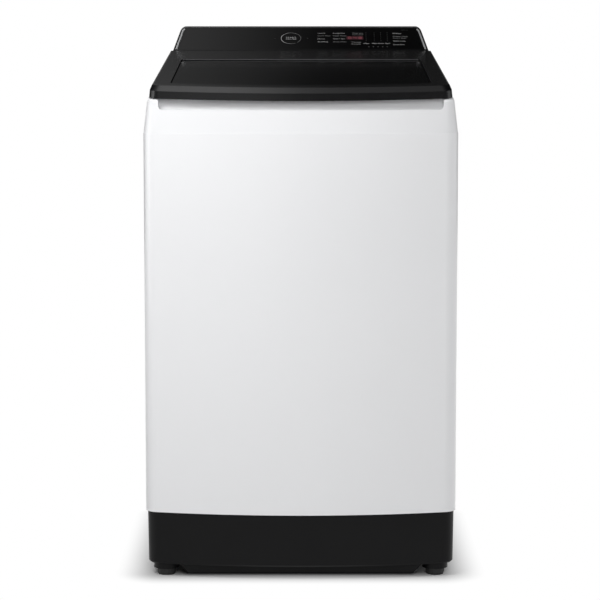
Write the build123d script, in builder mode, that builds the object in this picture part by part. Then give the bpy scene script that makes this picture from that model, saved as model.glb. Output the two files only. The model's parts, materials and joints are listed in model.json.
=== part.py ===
"""Top load washing machine: an assembly of separate pieces, in millimetres.

The origin is on the floor under the middle of the machine, +Z is up and the front faces -Y.
"""

import os
from math import asin, atan, cos, degrees, radians, sin, sqrt, tan

from build123d import *

os.makedirs("parts", exist_ok=True)

# Overall sizes
width = 610.0  # across the cabinet sides
depth = 675.0  # front bow to the tips of the inlet nozzles
front_bow = 38.0  # how far the front bulges at its middle
corner_radius = 30.0  # front vertical edges
rear_corner_radius = 12.0
nozzle_reach = 18.0  # nozzles and drain spigot behind the cabinet

# Heights above the floor
lip_bottom = 8.5  # lower lip of the base
foot_height = 14.0  # top of a foot's pad, underside of its boss
skirt_bottom = 26.0
cabinet_bottom = 130.0
cabinet_height = 742.0

# Cabinet and back panel
sheet = 1.0
cabinet_flange = 14.0  # folded in along the bottom
rear_flange = 26.0
bead_width = 26.0
bead_length = 190.0
bead_height = 5.0
bead_pitch_x = 150.0
bead_pitch_z = 225.0

# Base
skirt_inset = 3.5
skirt_draft = 1.4  # inward by the lower edge
base_wall = 3.5
base_floor = 4.0
base_opening_radius = 185.0
base_rib_height = 34.0
base_rib_count = 16
boss_radius = 25.0
boss_height = 44.0
lip_setback = 35.0  # behind the middle of the front
lip_thickness = 7.0
lip_end_inset = 62.0  # from the cabinet sides
lip_slant = 45.0  # degrees, its ends

# Feet
foot_side_inset = 39.5  # a foot's middle from the cabinet side
foot_front_inset = 65.5  # from the middle of the front
foot_rear_inset = 49.5  # from the back
foot_radius = 18.7
foot_sole_height = 4.0
foot_sides = 14
stud_radius = 5.0
stud_chamfer = 1.0
stud_length = 58.0
foot_travel_gap = 0.3
nut_width = 17.0
nut_height = 8.0

# Top cover
cover_front_height = 59.5  # seam to the lid seat at the front
lid_slope = 7.2  # degrees, rising to the rear
cover_step = 0.5
cover_wall = 3.0
side_lean = 7.0
front_lean = 6.0
shoulder_radius = 6.0
cover_lip_height = 14.0
opening_side_inset = 83.0  # laundry opening, from the cabinet's faces
opening_front_inset = 87.5
opening_rear_inset = 169.5
opening_front_flat = 22.0  # half of what stays straight along the front
opening_rear_radius = 40.0
collar_lift = 18.0  # lower edge of the collar over the seam
rim_height = 3.0  # raised edge round the laundry opening
scoop_height = 15.0
scoop_depth = 22.0
scoop_side_inset = 18.5  # from the lid's corners
scoop_corner_radius = 11.0
scoop_relief = 1.0

# Lid
lid_gap = 1.5
lid_setback = 8.0
lid_side_inset = 11.5
lid_taper = 8.0  # narrower by this on each side at the rear
lid_face_height = 14.5
lid_thickness = 24.5
lid_nose_run = 16.0
lid_side_run = 6.0
lid_corner_radius = 22.0
lid_wall = 3.0
lid_edge_round = 5.0
glass_thickness = 4.0
glass_recess = 0.3
glass_gap = 0.9
glass_front_margin = 44.0
glass_rear_margin = 135.0
glass_side_margin = 41.0
glass_rear_side_margin = 37.0
glass_corner_radius = 10.0
glass_ledge = 8.0
inner_frame_lift = 4.0
inner_frame_plate = 2.5
inner_frame_gap = 0.4

# Hinge
hinge_nose_radius = 11.0
hinge_inset = 71.5  # from the lid's rear corners
ear_thickness = 12.0
ear_radius = 6.5
ear_gap = 1.0
knuckle_length = 12.0
pin_radius = 3.0
running_gap = 0.05
seat_fit = 0.02
buffer_radius = 7.0
buffer_round = 1.5
switch_width = 26.0
switch_length = 78.0
switch_depth = 20.0
magnet_width = 10.0
magnet_length = 24.0
magnet_height = 5.0

# Console
console_gap = 3.0  # behind the lid
console_wall = 3.5
console_depth = 91.8
console_side_inset = 22.0
console_narrowing = 25.0  # each side, from foot to ridge
console_tilt = 33.0  # degrees, the panel's slope
console_lid_step = 1.0  # panel edge above the lid's top
console_rear_inset = 1.5
console_round = 9.0
console_corner_radius = 16.0  # seen from the front
ridge_relief = 0.5
console_edge_round = 2.5
panel_thickness = 1.5
panel_gap = 0.25
panel_side_margin = 11.0
panel_low_margin = 4.0
panel_high_margin = 8.0
panel_corner_radius = 6.0
trim_width = 3.2
trim_offset = 4.0
trim_end_angle = 60.0  # round the console's corner
trim_depth = 1.0
trim_proud = 0.5
board_width = 380.0
board_height = 60.0
board_thickness = 1.6
board_spacer = 9.0

# Water inlet
nozzle_radius = 13.2
nozzle_bore = 8.0
nozzle_chamfer = 1.0
nozzle_spacing = 64.0
valve_x = 150.0
valve_lift = 76.0  # over the seam
valve_flange = 34.0
valve_flange_thickness = 4.0
valve_body_length = 46.0
hole_gap = 0.6
pipe_radius = 11.0
pipe_wall = 2.0

# Detergent drawer
drawer_corner_gap = 17.0  # from the opening's rear corner round
drawer_width = 190.0
drawer_height = 50.0
drawer_length = 138.0
drawer_lift = 36.0  # its floor over the seam
drawer_wall = 2.2
drawer_gap = 0.6
drawer_face = 3.0
drawer_divider_x = 34.0  # from the drawer's middle
housing_wall = 2.5
grip_depth = 9.0

# Tub
tub_clearance = 22.0  # to the cabinet sides
tub_wall = 3.0
tub_lift = 75.0  # over the cabinet's lower edge
tub_floor = 4.0
tub_headroom = 26.0  # under the seam
tub_rib_count = 12
tub_rib = 4.0
tub_rib_depth = 9.0
cover_ring_overlap = 10.0  # over the balance ring
cover_ring_height = 18.0
cover_ring_wall = 3.0

# Suspension
rod_inset = 58.0  # from the cabinet sides
rod_radius = 4.0
rod_gap = 1.2
lug_lift = 57.0  # over the tub's floor
lug_thickness = 14.0
lug_half_width = 22.0
cup_radius = 22.0
cup_height = 62.0
cup_wall = 2.5
rod_foot_radius = 17.0
rod_foot_height = 5.0
rod_ball_radius = 11.0
bracket_drop = 50.0  # under the seam
bracket_thickness = 3.0
bracket_leg = 118.0

# Basket
basket_gap = 25.0  # to the tub's outer wall
basket_lift = 71.0  # over the tub's floor
drum_sheet = 1.0
drum_bead = 3.0
ring_width = 36.0
ring_height = 46.0
ring_round = 9.0
basket_floor = 5.0
basket_rim = 16.0
basket_slot_count = 18
basket_slot_inset = 32.0
hub_arm_count = 6
hub_arm_width = 30.0
hub_arm_radius = 170.0
hub_thickness = 10.0
hub_boss_radius = 38.0

# Lint filters
filter_width = 116.0
filter_height = 226.0
filter_depth = 17.0
filter_lift = 284.0  # its middle over the basket's floor
filter_frame = 12.0
filter_gap = 0.8
filter_slot_count = 7

# Pulsator
pulsator_inset = 62.0  # from the drum's wall
pulsator_wall = 4.0
pulsator_lift = 7.0
pulsator_rim = 14.0
pulsator_dome = 52.0
vane_count = 6
vane_height = 34.0
cap_radius = 34.0
cap_height = 9.0
bolt_head_radius = 9.0
bolt_radius = 4.0
bolt_length = 26.0
drain_hole_radius = 3.0
drain_hole_pitch = 14.0

# Drive
wash_shaft_radius = 8.0
spin_shaft_radius = 17.5
spin_shaft_tail = 6.0  # under the lower bearing
bearing_radius = 31.0
bearing_height = 16.0
bearing_chamfer = 0.8
upper_bearing_lift = 19.0  # over the tub's floor
lower_bearing_drop = 41.0
seal_height = 7.0
housing_hub_radius = 40.0
housing_flange_radius = 122.0
housing_flange = 8.0
stator_inner = 52.0
stator_outer = 116.0
stator_height = 30.0
stator_slots = 24
stator_back = 18.0
stator_pad = 7.0
pole_width = 8.0
pole_tip = 12.0
pole_tip_depth = 4.0
air_gap = 1.0
magnet_thickness = 4.0
magnet_count = 24
rotor_wall = 3.0
rotor_drop = 18.0  # under the spin shaft
rotor_vent_count = 12
rotor_hub_radius = 30.0
rotor_nut_height = 12.0

# Drain
pump_x = 158.0
pump_y = 104.0  # behind the tub's axis
pump_radius = 38.0
pump_height = 64.0
spigot_length = 28.0
spigot_radius = 15.0
spigot_wall = 2.5
hose_gap = 0.3
hose_wall = 3.0
outlet_flange = 27.0
outlet_thickness = 3.0
gland_inset = 90.0  # from the cabinet side
gland_drop = 60.0  # under the seam
gland_radius = 9.0
gland_flange = 14.0

# Places that follow from the sizes
cabinet_top = cabinet_bottom + cabinet_height
y_front = -depth / 2
y_back = depth / 2 - nozzle_reach
bow_radius = ((width / 2) ** 2 + front_bow**2) / (2 * front_bow)
bow_centre = y_front + bow_radius
slope = radians(lid_slope)
foot_x = width / 2 - foot_side_inset
foot_front_y = y_front + foot_front_inset
foot_rear_y = y_back - foot_rear_inset
opening_half_width = width / 2 - opening_side_inset
opening_front_y = y_front + opening_front_inset
opening_rear_y = y_back - opening_rear_inset
opening_front_radius = opening_half_width - opening_front_flat
console_rear = y_back - console_rear_inset
console_front = console_rear - console_depth
console_half_base = width / 2 - console_side_inset
console_half_top = console_half_base - console_narrowing
lid_half_front = width / 2 - lid_side_inset
lid_half_rear = lid_half_front - lid_taper
lid_front = (y_front + lid_setback) / cos(slope)
hinge_lift = lid_gap + lid_thickness - hinge_nose_radius
hinge_u = (console_front - console_gap + hinge_lift * sin(slope)) / cos(slope) - hinge_nose_radius
hinge_x = lid_half_rear - hinge_inset
glass_length = hinge_u - lid_front - glass_front_margin - glass_rear_margin
glass_half_front = lid_half_front - glass_side_margin
glass_half_rear = lid_half_rear - glass_rear_side_margin
valve_z = cabinet_top + valve_lift
drawer_x = drawer_width / 2 + drawer_corner_gap + opening_rear_radius - opening_half_width
drawer_floor_z = cabinet_top + drawer_lift
tub_y = (y_front + y_back) / 2
tub_radius = width / 2 - tub_clearance
tub_bottom = cabinet_bottom + tub_lift
tub_top = cabinet_top - tub_headroom
tub_hub_hole = housing_hub_radius + hole_gap
rod_offset = width / 2 - rod_inset
lug_z = tub_bottom + lug_lift
bracket_z = cabinet_top - bracket_drop
drum_radius = tub_radius - basket_gap
drum_bottom = tub_bottom + basket_lift
drum_top = tub_top - ring_height
ring_inner = drum_radius - ring_width
cover_ring_inner = ring_inner - cover_ring_overlap
filter_z = drum_bottom + filter_lift
pulsator_radius = drum_radius - pulsator_inset
upper_bearing_z = tub_bottom + upper_bearing_lift
lower_bearing_z = tub_bottom - lower_bearing_drop
spin_shaft_bottom = lower_bearing_z - spin_shaft_tail
rotor_plate_z = spin_shaft_bottom - rotor_drop
gland_x = gland_inset - width / 2
gland_z = cabinet_top - gland_drop


def seat_height(y):
    """Height of the sloping lid seat over a point on the floor."""
    return cabinet_top + cover_front_height + (y - y_front) * tan(slope)


seat = Plane(origin=(0, 0, seat_height(0)), x_dir=(1, 0, 0), z_dir=(0, -sin(slope), cos(slope)))


def body_outline(height, front=0.0, side=0.0, rear=0.0):
    """Plan of the body at a height, set in from the cabinet's outer faces."""
    half = width / 2 - side
    radius = bow_radius - front
    corner_y = bow_centre - sqrt(radius**2 - half**2)
    rear_y = y_back - rear
    with BuildSketch(Plane.XY.offset(height)) as plan:
        with BuildLine():
            ThreePointArc((-half, corner_y), (0, bow_centre - radius), (half, corner_y))
            Polyline((half, corner_y), (half, rear_y), (-half, rear_y), (-half, corner_y))
        make_face()
        fillet(plan.vertices().group_by(Axis.Y)[0], max(corner_radius - side, sheet))
        fillet(plan.vertices().group_by(Axis.Y)[-1], max(rear_corner_radius - rear, sheet))
    return plan.sketch


def lid_outline(lift, front=0.0, side=0.0, rear=0.0):
    """Outline of the lid, parallel to its seat, set in from its lower edge."""
    front_y = lid_front + front
    rear_y = hinge_u - rear
    half_front = lid_half_front - side
    half_rear = lid_half_rear - side
    sag = bow_radius - sqrt(bow_radius**2 - half_front**2)
    with BuildSketch(seat.offset(lift)) as plan:
        with BuildLine():
            ThreePointArc((-half_front, front_y + sag), (0, front_y), (half_front, front_y + sag))
            Polyline(
                (half_front, front_y + sag),
                (half_rear, rear_y),
                (-half_rear, rear_y),
                (-half_front, front_y + sag),
            )
        make_face()
        front_corners = plan.vertices().filter_by_position(Axis.Y, front_y + sag - 1, front_y + sag + 1)
        fillet(front_corners, lid_corner_radius)
    return plan.sketch


def glass_outline(lift, grow=0.0):
    """Outline of the lid's window, bowed in front like the lid and grown on all sides."""
    front_y = lid_front + glass_front_margin - grow
    rear_y = front_y + glass_length + 2 * grow
    half_front = glass_half_front + grow
    half_rear = glass_half_rear + grow
    sag = bow_radius - sqrt(bow_radius**2 - half_front**2)
    with BuildSketch(seat.offset(lift)) as plan:
        with BuildLine():
            ThreePointArc((-half_front, front_y + sag), (0, front_y), (half_front, front_y + sag))
            Polyline(
                (half_front, front_y + sag),
                (half_rear, rear_y),
                (-half_rear, rear_y),
                (-half_front, front_y + sag),
            )
        make_face()
        fillet(plan.vertices(), max(glass_corner_radius + grow, 2.0))
    return plan.sketch


def opening_outline(height, grow=0.0):
    """Plan of the laundry opening, grown on all sides."""
    with BuildSketch(Plane.XY.offset(height)) as plan:
        with Locations((0, (opening_front_y + opening_rear_y) / 2)):
            Rectangle(2 * opening_half_width + 2 * grow, opening_rear_y - opening_front_y + 2 * grow)
        fillet(plan.vertices().group_by(Axis.Y)[0], opening_front_radius + grow)
        fillet(plan.vertices().group_by(Axis.Y)[-1], opening_rear_radius + grow)
    return plan.sketch


feet = [
    (-foot_x, foot_front_y),
    (foot_x, foot_front_y),
    (-foot_x, foot_rear_y),
    (foot_x, foot_rear_y),
]
rods = [
    (-rod_offset, tub_y - rod_offset),
    (rod_offset, tub_y - rod_offset),
    (-rod_offset, tub_y + rod_offset),
    (rod_offset, tub_y + rod_offset),
]
tub_axis = Axis((0, tub_y, 0), (0, 0, 1))
tub_section = Plane(origin=(0, tub_y, 0), x_dir=(1, 0, 0), z_dir=(0, -1, 0))

# Cabinet: one sheet wrapped round the front and sides, open at the back
with BuildPart() as cabinet:
    extrude(body_outline(cabinet_bottom), amount=cabinet_height)
    extrude(
        body_outline(cabinet_bottom + sheet, sheet, sheet, sheet),
        amount=cabinet_height,
        mode=Mode.SUBTRACT,
    )
    extrude(
        body_outline(cabinet_bottom, cabinet_flange, cabinet_flange, cabinet_flange),
        amount=sheet,
        mode=Mode.SUBTRACT,
    )
    with Locations((0, y_back, cabinet_bottom + sheet + cabinet_height / 2)):
        Box(width - 2 * rear_flange, 4 * sheet, cabinet_height, mode=Mode.SUBTRACT)

# Back panel: flat sheet with pressed beads, screwed inside the rear flanges
panel_face_y = y_back - sheet
panel_low = cabinet_bottom + sheet
panel_high = cabinet_top - cover_lip_height
back_plane = Plane(origin=(0, panel_face_y, (panel_low + panel_high) / 2), x_dir=(-1, 0, 0), z_dir=(0, 1, 0))
outlet_z = tub_bottom - tub_rib_depth - tub_rib - hose_wall - hose_gap - spigot_radius
with BuildPart() as back_panel:
    with BuildSketch(back_plane):
        Rectangle(width - 2 * rear_corner_radius, panel_high - panel_low)
    extrude(amount=-sheet)
    with BuildSketch(back_plane):
        with GridLocations(bead_pitch_x, bead_pitch_z, 3, 2):
            SlotOverall(bead_length, bead_width, rotation=90)
    extrude(amount=bead_height, taper=30)
    with BuildSketch(back_plane.offset(-sheet)):
        with GridLocations(bead_pitch_x, bead_pitch_z, 3, 2):
            SlotOverall(bead_length - 2 * sheet, bead_width - 2 * sheet, rotation=90)
    extrude(amount=bead_height, taper=30, mode=Mode.SUBTRACT)
    with Locations((pump_x, panel_face_y, outlet_z)):
        Cylinder(spigot_radius + hole_gap, 4 * sheet, rotation=(90, 0, 0), mode=Mode.SUBTRACT)
    with Locations((gland_x, panel_face_y, gland_z)):
        Cylinder(gland_radius + hole_gap, 4 * sheet, rotation=(90, 0, 0), mode=Mode.SUBTRACT)

# Base: moulded tray with a skirt, ribs round the motor opening, foot bosses and a lower front lip
base_height = cabinet_bottom - skirt_bottom
with BuildPart() as base:
    loft(
        [
            body_outline(
                skirt_bottom,
                skirt_inset + skirt_draft,
                skirt_inset + skirt_draft,
                skirt_inset + skirt_draft,
            ),
            body_outline(cabinet_bottom, skirt_inset, skirt_inset, skirt_inset),
        ],
        ruled=True,
    )
    chamfer(base.faces().sort_by(Axis.Z)[0].edges(), skirt_inset)
    core_inset = skirt_inset + skirt_draft + base_wall
    extrude(
        body_outline(skirt_bottom + base_floor, core_inset, core_inset, core_inset),
        amount=base_height,
        mode=Mode.SUBTRACT,
    )
    with BuildSketch(Plane.XY.offset(skirt_bottom + base_floor)):
        add(body_outline(skirt_bottom + base_floor, core_inset, core_inset, core_inset).faces())
        with BuildSketch(mode=Mode.INTERSECT):
            with Locations((0, tub_y)):
                with PolarLocations(0, base_rib_count):
                    Rectangle(width, base_wall, align=(Align.MIN, Align.CENTER))
                Circle(base_opening_radius + base_wall)
    extrude(amount=base_rib_height)
    with Locations((0, tub_y, skirt_bottom)):
        Cylinder(
            base_opening_radius,
            base_height,
            align=(Align.CENTER, Align.CENTER, Align.MIN),
            mode=Mode.SUBTRACT,
        )
    with BuildSketch(Plane.XY.offset(foot_height)):
        with Locations(*feet):
            Circle(boss_radius)
    extrude(amount=boss_height)
    with BuildSketch(Plane.XY.offset(foot_height)):
        with Locations(*feet):
            Circle(stud_radius + running_gap)
    extrude(amount=base_height, mode=Mode.SUBTRACT)
    with BuildSketch(Plane.XY.offset(foot_height + boss_height - nut_height)):
        with Locations(*feet):
            RegularPolygon(nut_width / 2 + seat_fit, 6, major_radius=False)
    extrude(amount=base_height, mode=Mode.SUBTRACT)
    lip_top = skirt_bottom + base_floor
    with BuildSketch(Plane(origin=(0, y_front + lip_setback, lip_top), x_dir=(1, 0, 0), z_dir=(0, -1, 0))):
        Trapezoid(
            width - 2 * lip_end_inset,
            lip_top - lip_bottom,
            lip_slant,
            align=(Align.CENTER, Align.MIN),
            rotation=180,
        )
    extrude(amount=-lip_thickness)

# Feet: a faceted pad on a threaded stud, screwed up into a captive nut
foot_names = ["foot_front_left", "foot_front_right", "foot_rear_left", "foot_rear_right"]
foot_parts = []
for foot_place in feet:
    with BuildPart() as foot:
        with BuildSketch(Plane.XY):
            with Locations(foot_place):
                Circle(foot_radius - foot_sole_height / 2)
        extrude(amount=foot_sole_height)
        with BuildSketch(Plane.XY.offset(foot_sole_height)):
            with Locations(foot_place):
                RegularPolygon(foot_radius, foot_sides)
        extrude(amount=foot_height - foot_travel_gap - foot_sole_height)
        with BuildSketch(Plane.XY.offset(foot_height - foot_travel_gap)):
            with Locations(foot_place):
                Circle(stud_radius)
        extrude(amount=stud_length)
        chamfer(foot.faces().sort_by(Axis.Z)[-1].edges(), stud_chamfer)
    foot_parts.append(foot.part)

with BuildPart() as foot_nuts:
    with BuildSketch(Plane.XY.offset(foot_height + boss_height - nut_height)):
        with Locations(*feet):
            RegularPolygon(nut_width / 2, 6, major_radius=False)
            Circle(stud_radius + running_gap, mode=Mode.SUBTRACT)
    extrude(amount=nut_height)

# Top cover: hollow sloping frame with the laundry opening, finger scoop and hinge ears
cover_rise = seat_height(y_back) - cabinet_top + lid_thickness
cover_side_top = cover_rise * tan(radians(side_lean))
cover_front_top = cover_rise * tan(radians(front_lean))
collar_bottom = cabinet_top + collar_lift
hinge_point = seat.from_local_coords((0, hinge_u, hinge_lift))


def cover_sections(inset):
    """Lower and upper plan of the top cover, set in from its outer face."""
    low = cover_step + inset
    return [
        body_outline(cabinet_top, low, low, low),
        body_outline(cabinet_top + cover_rise, low + cover_front_top, low + cover_side_top, low),
    ]


def scoop_cut(grow):
    """Solid that cuts the finger scoop, grown on all sides: a bowed trough with round lower corners."""
    half = lid_half_front - scoop_side_inset + grow
    turn = asin((half + scoop_depth) / bow_radius)
    low_z = seat_height(y_front) - scoop_height
    face = bow_radius - cover_step - (low_z - cabinet_top) * tan(radians(front_lean))
    high_z = seat_height(y_front + scoop_depth) + lid_thickness
    start = Plane(
        origin=(0, bow_centre, 0),
        x_dir=(-sin(turn), -cos(turn), 0),
        z_dir=(-cos(turn), sin(turn), 0),
    )
    with BuildSketch(start) as section:
        with BuildLine():
            Polyline(
                (face - scoop_depth, low_z + scoop_height),
                (face - scoop_depth, high_z),
                (face + scoop_depth, high_z),
                (face + scoop_depth, low_z),
                (face, low_z),
            )
            ThreePointArc(
                (face, low_z),
                (face - 0.72 * scoop_depth, low_z + 0.3 * scoop_height),
                (face - scoop_depth, low_z + scoop_height),
            )
        make_face()
        if grow > 0:
            offset(amount=grow, kind=Kind.INTERSECTION)
    with BuildPart() as cutter:
        revolve(
            section.sketch.faces(),
            axis=Axis((0, bow_centre, 0), (0, 0, 1)),
            revolution_arc=2 * degrees(turn),
        )
        with BuildSketch(Plane.XZ.offset(-y_front - front_bow - 2 * scoop_depth)) as elevation:
            with Locations((0, low_z - scoop_relief - grow)):
                Rectangle(2 * half, 2 * (high_z - low_z), align=(Align.CENTER, Align.MIN))
            fillet(elevation.vertices().group_by(Axis.Y)[0], scoop_corner_radius + grow)
        extrude(amount=front_bow + 4 * scoop_depth, mode=Mode.INTERSECT)
    return cutter.part


with BuildPart() as cover_core:
    loft(cover_sections(cover_wall), ruled=True)
    split(bisect_by=seat.offset(-cover_wall), keep=Keep.BOTTOM)
    add(scoop_cut(cover_wall), mode=Mode.SUBTRACT)

with BuildPart() as collar:
    extrude(opening_outline(collar_bottom, cover_wall), amount=cover_rise)
    split(bisect_by=seat.offset(rim_height), keep=Keep.BOTTOM)

with BuildPart() as top_cover:
    loft(cover_sections(0), ruled=True)
    split(bisect_by=seat, keep=Keep.BOTTOM)
    seat_faces = top_cover.faces().filter_by(lambda f: f.normal_at().dot(seat.z_dir) > 0.9999)
    fillet(seat_faces.edges(), shoulder_radius)
    add(cover_core.part, mode=Mode.SUBTRACT)
    lip_inset = sheet + cover_step
    extrude(
        body_outline(cabinet_top - cover_lip_height, lip_inset, lip_inset, lip_inset),
        amount=cover_lip_height,
    )
    inner_inset = cover_step + cover_wall
    extrude(
        body_outline(cabinet_top - cover_lip_height, inner_inset, inner_inset, inner_inset),
        amount=cover_lip_height,
        mode=Mode.SUBTRACT,
    )
    add(scoop_cut(0), mode=Mode.SUBTRACT)
    add(collar.part)
    extrude(opening_outline(collar_bottom), amount=cover_rise, mode=Mode.SUBTRACT)
    for ear_x in (-hinge_x, hinge_x):
        ear_plane = Plane(
            origin=seat.from_local_coords((ear_x - ear_thickness / 2, hinge_u, hinge_lift)),
            x_dir=seat.y_dir,
            z_dir=(1, 0, 0),
        )
        with BuildSketch(ear_plane):
            Circle(ear_radius)
            with Locations((0, -(hinge_lift + cover_wall) / 2)):
                Rectangle(1.4 * ear_radius, hinge_lift + cover_wall)
            Circle(pin_radius + seat_fit, mode=Mode.SUBTRACT)
        extrude(amount=ear_thickness)
    with Locations(
        (drawer_x, opening_rear_y + cover_wall / 2, drawer_floor_z + drawer_height / 2)
    ):
        Box(
            drawer_width + 2 * drawer_gap,
            4 * cover_wall,
            drawer_height + 2 * drawer_gap,
            mode=Mode.SUBTRACT,
        )
    for nozzle_x in (valve_x - nozzle_spacing / 2, valve_x + nozzle_spacing / 2):
        with Locations((nozzle_x, y_back - cover_step - cover_wall / 2, valve_z)):
            Cylinder(nozzle_radius + hole_gap, 2 * cover_wall, rotation=(90, 0, 0), mode=Mode.SUBTRACT)

with BuildPart() as hinge_pins:
    pin_length = ear_thickness + 2 * ear_gap + 2 * knuckle_length - 2 * ear_gap
    with Locations(
        (-hinge_x, hinge_point.Y, hinge_point.Z),
        (hinge_x, hinge_point.Y, hinge_point.Z),
    ):
        Cylinder(pin_radius, pin_length, rotation=(0, 90, 0))

# Lid: hollow frame with a creased front edge and a round nose on the hinge line
lid_top = lid_gap + lid_thickness
slope_axis = Axis((0, 0, 0), seat.y_dir)
lift_axis = Axis((0, 0, 0), seat.z_dir)
with BuildPart() as lid_frame:
    loft(
        [
            lid_outline(lid_gap),
            lid_outline(lid_gap + lid_face_height, lid_side_run / 6, lid_side_run / 4),
            lid_outline(lid_top, lid_nose_run, lid_side_run),
        ],
        ruled=True,
    )
    lid_edges = lid_frame.faces().sort_by(lift_axis)[-1].edges().sort_by(slope_axis)[:-1]
    fillet(lid_edges, lid_edge_round)
    with Locations(hinge_point):
        Cylinder(hinge_nose_radius, 2 * (lid_half_rear - lid_side_run), rotation=(0, 90, 0))
    loft(
        [
            lid_outline(lid_gap, lid_wall, lid_wall),
            lid_outline(
                lid_gap + lid_face_height,
                lid_wall + lid_side_run / 6,
                lid_wall + lid_side_run / 4,
            ),
            lid_outline(lid_top - lid_wall, lid_wall + lid_nose_run, lid_wall + lid_side_run),
        ],
        ruled=True,
        mode=Mode.SUBTRACT,
    )
    with Locations(hinge_point):
        Cylinder(
            hinge_nose_radius - lid_wall,
            2 * (lid_half_rear - lid_side_run - lid_wall),
            rotation=(0, 90, 0),
            mode=Mode.SUBTRACT,
        )
    extrude(glass_outline(lid_top, glass_gap), amount=-2 * lid_wall, mode=Mode.SUBTRACT)
    for ear_x in (-hinge_x, hinge_x):
        for side in (-1, 1):
            knuckle_x = ear_x + side * (ear_thickness / 2 + ear_gap + knuckle_length / 2)
            with Locations((knuckle_x, hinge_point.Y, hinge_point.Z)):
                Cylinder(hinge_nose_radius - glass_recess, knuckle_length, rotation=(0, 90, 0))
        notch_plane = Plane(
            origin=seat.from_local_coords(
                (ear_x - ear_thickness / 2 - ear_gap, hinge_u, hinge_lift)
            ),
            x_dir=seat.y_dir,
            z_dir=(1, 0, 0),
        )
        notch_high = ear_radius + ear_gap
        notch_low = hinge_nose_radius + ear_radius
        with BuildSketch(notch_plane):
            with Locations((-notch_high, notch_high)):
                Rectangle(
                    notch_high + notch_low,
                    notch_high + notch_low,
                    align=(Align.MIN, Align.MAX),
                )
        extrude(amount=ear_thickness + 2 * ear_gap, mode=Mode.SUBTRACT)
        with Locations((ear_x, hinge_point.Y, hinge_point.Z)):
            Cylinder(
                pin_radius + running_gap,
                ear_thickness + 2 * ear_gap + 2 * knuckle_length,
                rotation=(0, 90, 0),
                mode=Mode.SUBTRACT,
            )

glass_low = lid_top - glass_recess - glass_thickness
with BuildPart() as lid_glass:
    extrude(glass_outline(glass_low), amount=glass_thickness)
    chamfer(lid_glass.faces().sort_by(lift_axis)[-1].edges(), glass_gap)

# Inner frame: closes the lid's underside and carries the glass on a ledge
plate_inset = lid_wall + lid_side_run / 4 + inner_frame_gap
inner_rear = hinge_nose_radius + ear_radius + ear_gap
inner_low = lid_gap + inner_frame_lift
with BuildPart() as lid_inner_frame:
    extrude(
        lid_outline(inner_low, plate_inset, plate_inset, inner_rear),
        amount=inner_frame_plate,
    )
    extrude(
        glass_outline(inner_low, inner_frame_plate + lid_wall),
        amount=lid_top - lid_wall - inner_low,
    )
    extrude(
        glass_outline(inner_low, inner_frame_plate),
        amount=glass_low - lid_wall - inner_low,
        mode=Mode.SUBTRACT,
    )
    extrude(
        glass_outline(glass_low - lid_wall, -glass_ledge),
        amount=lid_wall,
        mode=Mode.SUBTRACT,
    )
    extrude(
        glass_outline(glass_low, inner_frame_plate),
        amount=lid_thickness,
        mode=Mode.SUBTRACT,
    )

buffer_height = inner_low - foot_travel_gap
buffer_places = [
    (-lid_half_front + lid_corner_radius, opening_front_y),
    (lid_half_front - lid_corner_radius, opening_front_y),
    (-lid_half_rear + lid_corner_radius, opening_rear_y),
    (lid_half_rear - lid_corner_radius, opening_rear_y),
]
with BuildPart() as lid_buffers:
    with BuildSketch(seat):
        with Locations(*buffer_places):
            Circle(buffer_radius)
    extrude(amount=buffer_height)
    chamfer(lid_buffers.faces().sort_by(lift_axis)[-4:].edges(), buffer_round)

# Lid switch under the seat and the magnet that works it
switch_x = lid_half_front - lid_corner_radius
with BuildPart() as lid_switch:
    with BuildSketch(seat.offset(-cover_wall)):
        with Locations((switch_x - magnet_width / 2, 0)):
            Rectangle(switch_width, switch_length)
    extrude(amount=-switch_depth)
    fillet(lid_switch.edges().filter_by(lift_axis), cover_wall)

with BuildPart() as lid_magnet:
    with BuildSketch(seat.offset(inner_low + inner_frame_plate)):
        with Locations((switch_x, 0)):
            Rectangle(magnet_width, magnet_length)
    extrude(amount=magnet_height)

# Console: hollow wedge behind the lid, its sides leaning in towards the top
console_edge = seat.from_local_coords((0, hinge_u, lid_top)).Z + console_lid_step
console_base = seat_height(console_front)
tilt = radians(console_tilt)
console_apex = console_edge + (console_rear - console_front) * tan(tilt)
console_lean = (console_half_base - console_half_top) / (console_apex - console_base)
lean_angle = degrees(atan(console_lean))
console_ridge = console_apex - console_round * (tan(tilt) + 1 / cos(tilt) - 1) + ridge_relief
corner_z = console_ridge - console_corner_radius


def console_side(height, inset=0.0):
    """Half the console's width at a height, set in from its leaning side."""
    return console_half_base - (height - console_base) * console_lean - inset / cos(radians(lean_angle))


corner_x = console_side(corner_z, console_corner_radius)


def console_stock(inset):
    """Solid wedge of the console, set in from its outer faces but not from its foot."""
    drop = 2 * inset
    with BuildPart() as wedge:
        with BuildSketch(Plane.YZ):
            with BuildLine():
                Polyline(
                    (console_front, console_base - drop),
                    (console_front, console_edge),
                    (console_rear, console_apex),
                    (console_rear, seat_height(console_rear) - drop),
                    close=True,
                )
            make_face()
            if inset > 0:
                offset(amount=-inset, kind=Kind.INTERSECTION)
        extrude(amount=console_half_base, both=True)
        ridge = wedge.edges().filter_by(Axis.X).sort_by(Axis.Z)[-1]
        fillet(ridge, console_round - inset)
        low = console_base - drop
        high = console_ridge - inset
        with BuildSketch(Plane.XZ.offset(-console_rear)) as elevation:
            with BuildLine():
                Polyline(
                    (-console_side(low, inset), low),
                    (console_side(low, inset), low),
                    (console_side(high, inset), high),
                    (-console_side(high, inset), high),
                    close=True,
                )
            make_face()
            fillet(elevation.vertices().group_by(Axis.Y)[-1], console_corner_radius - inset)
        extrude(amount=console_depth, mode=Mode.INTERSECT)
    return wedge.part


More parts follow.
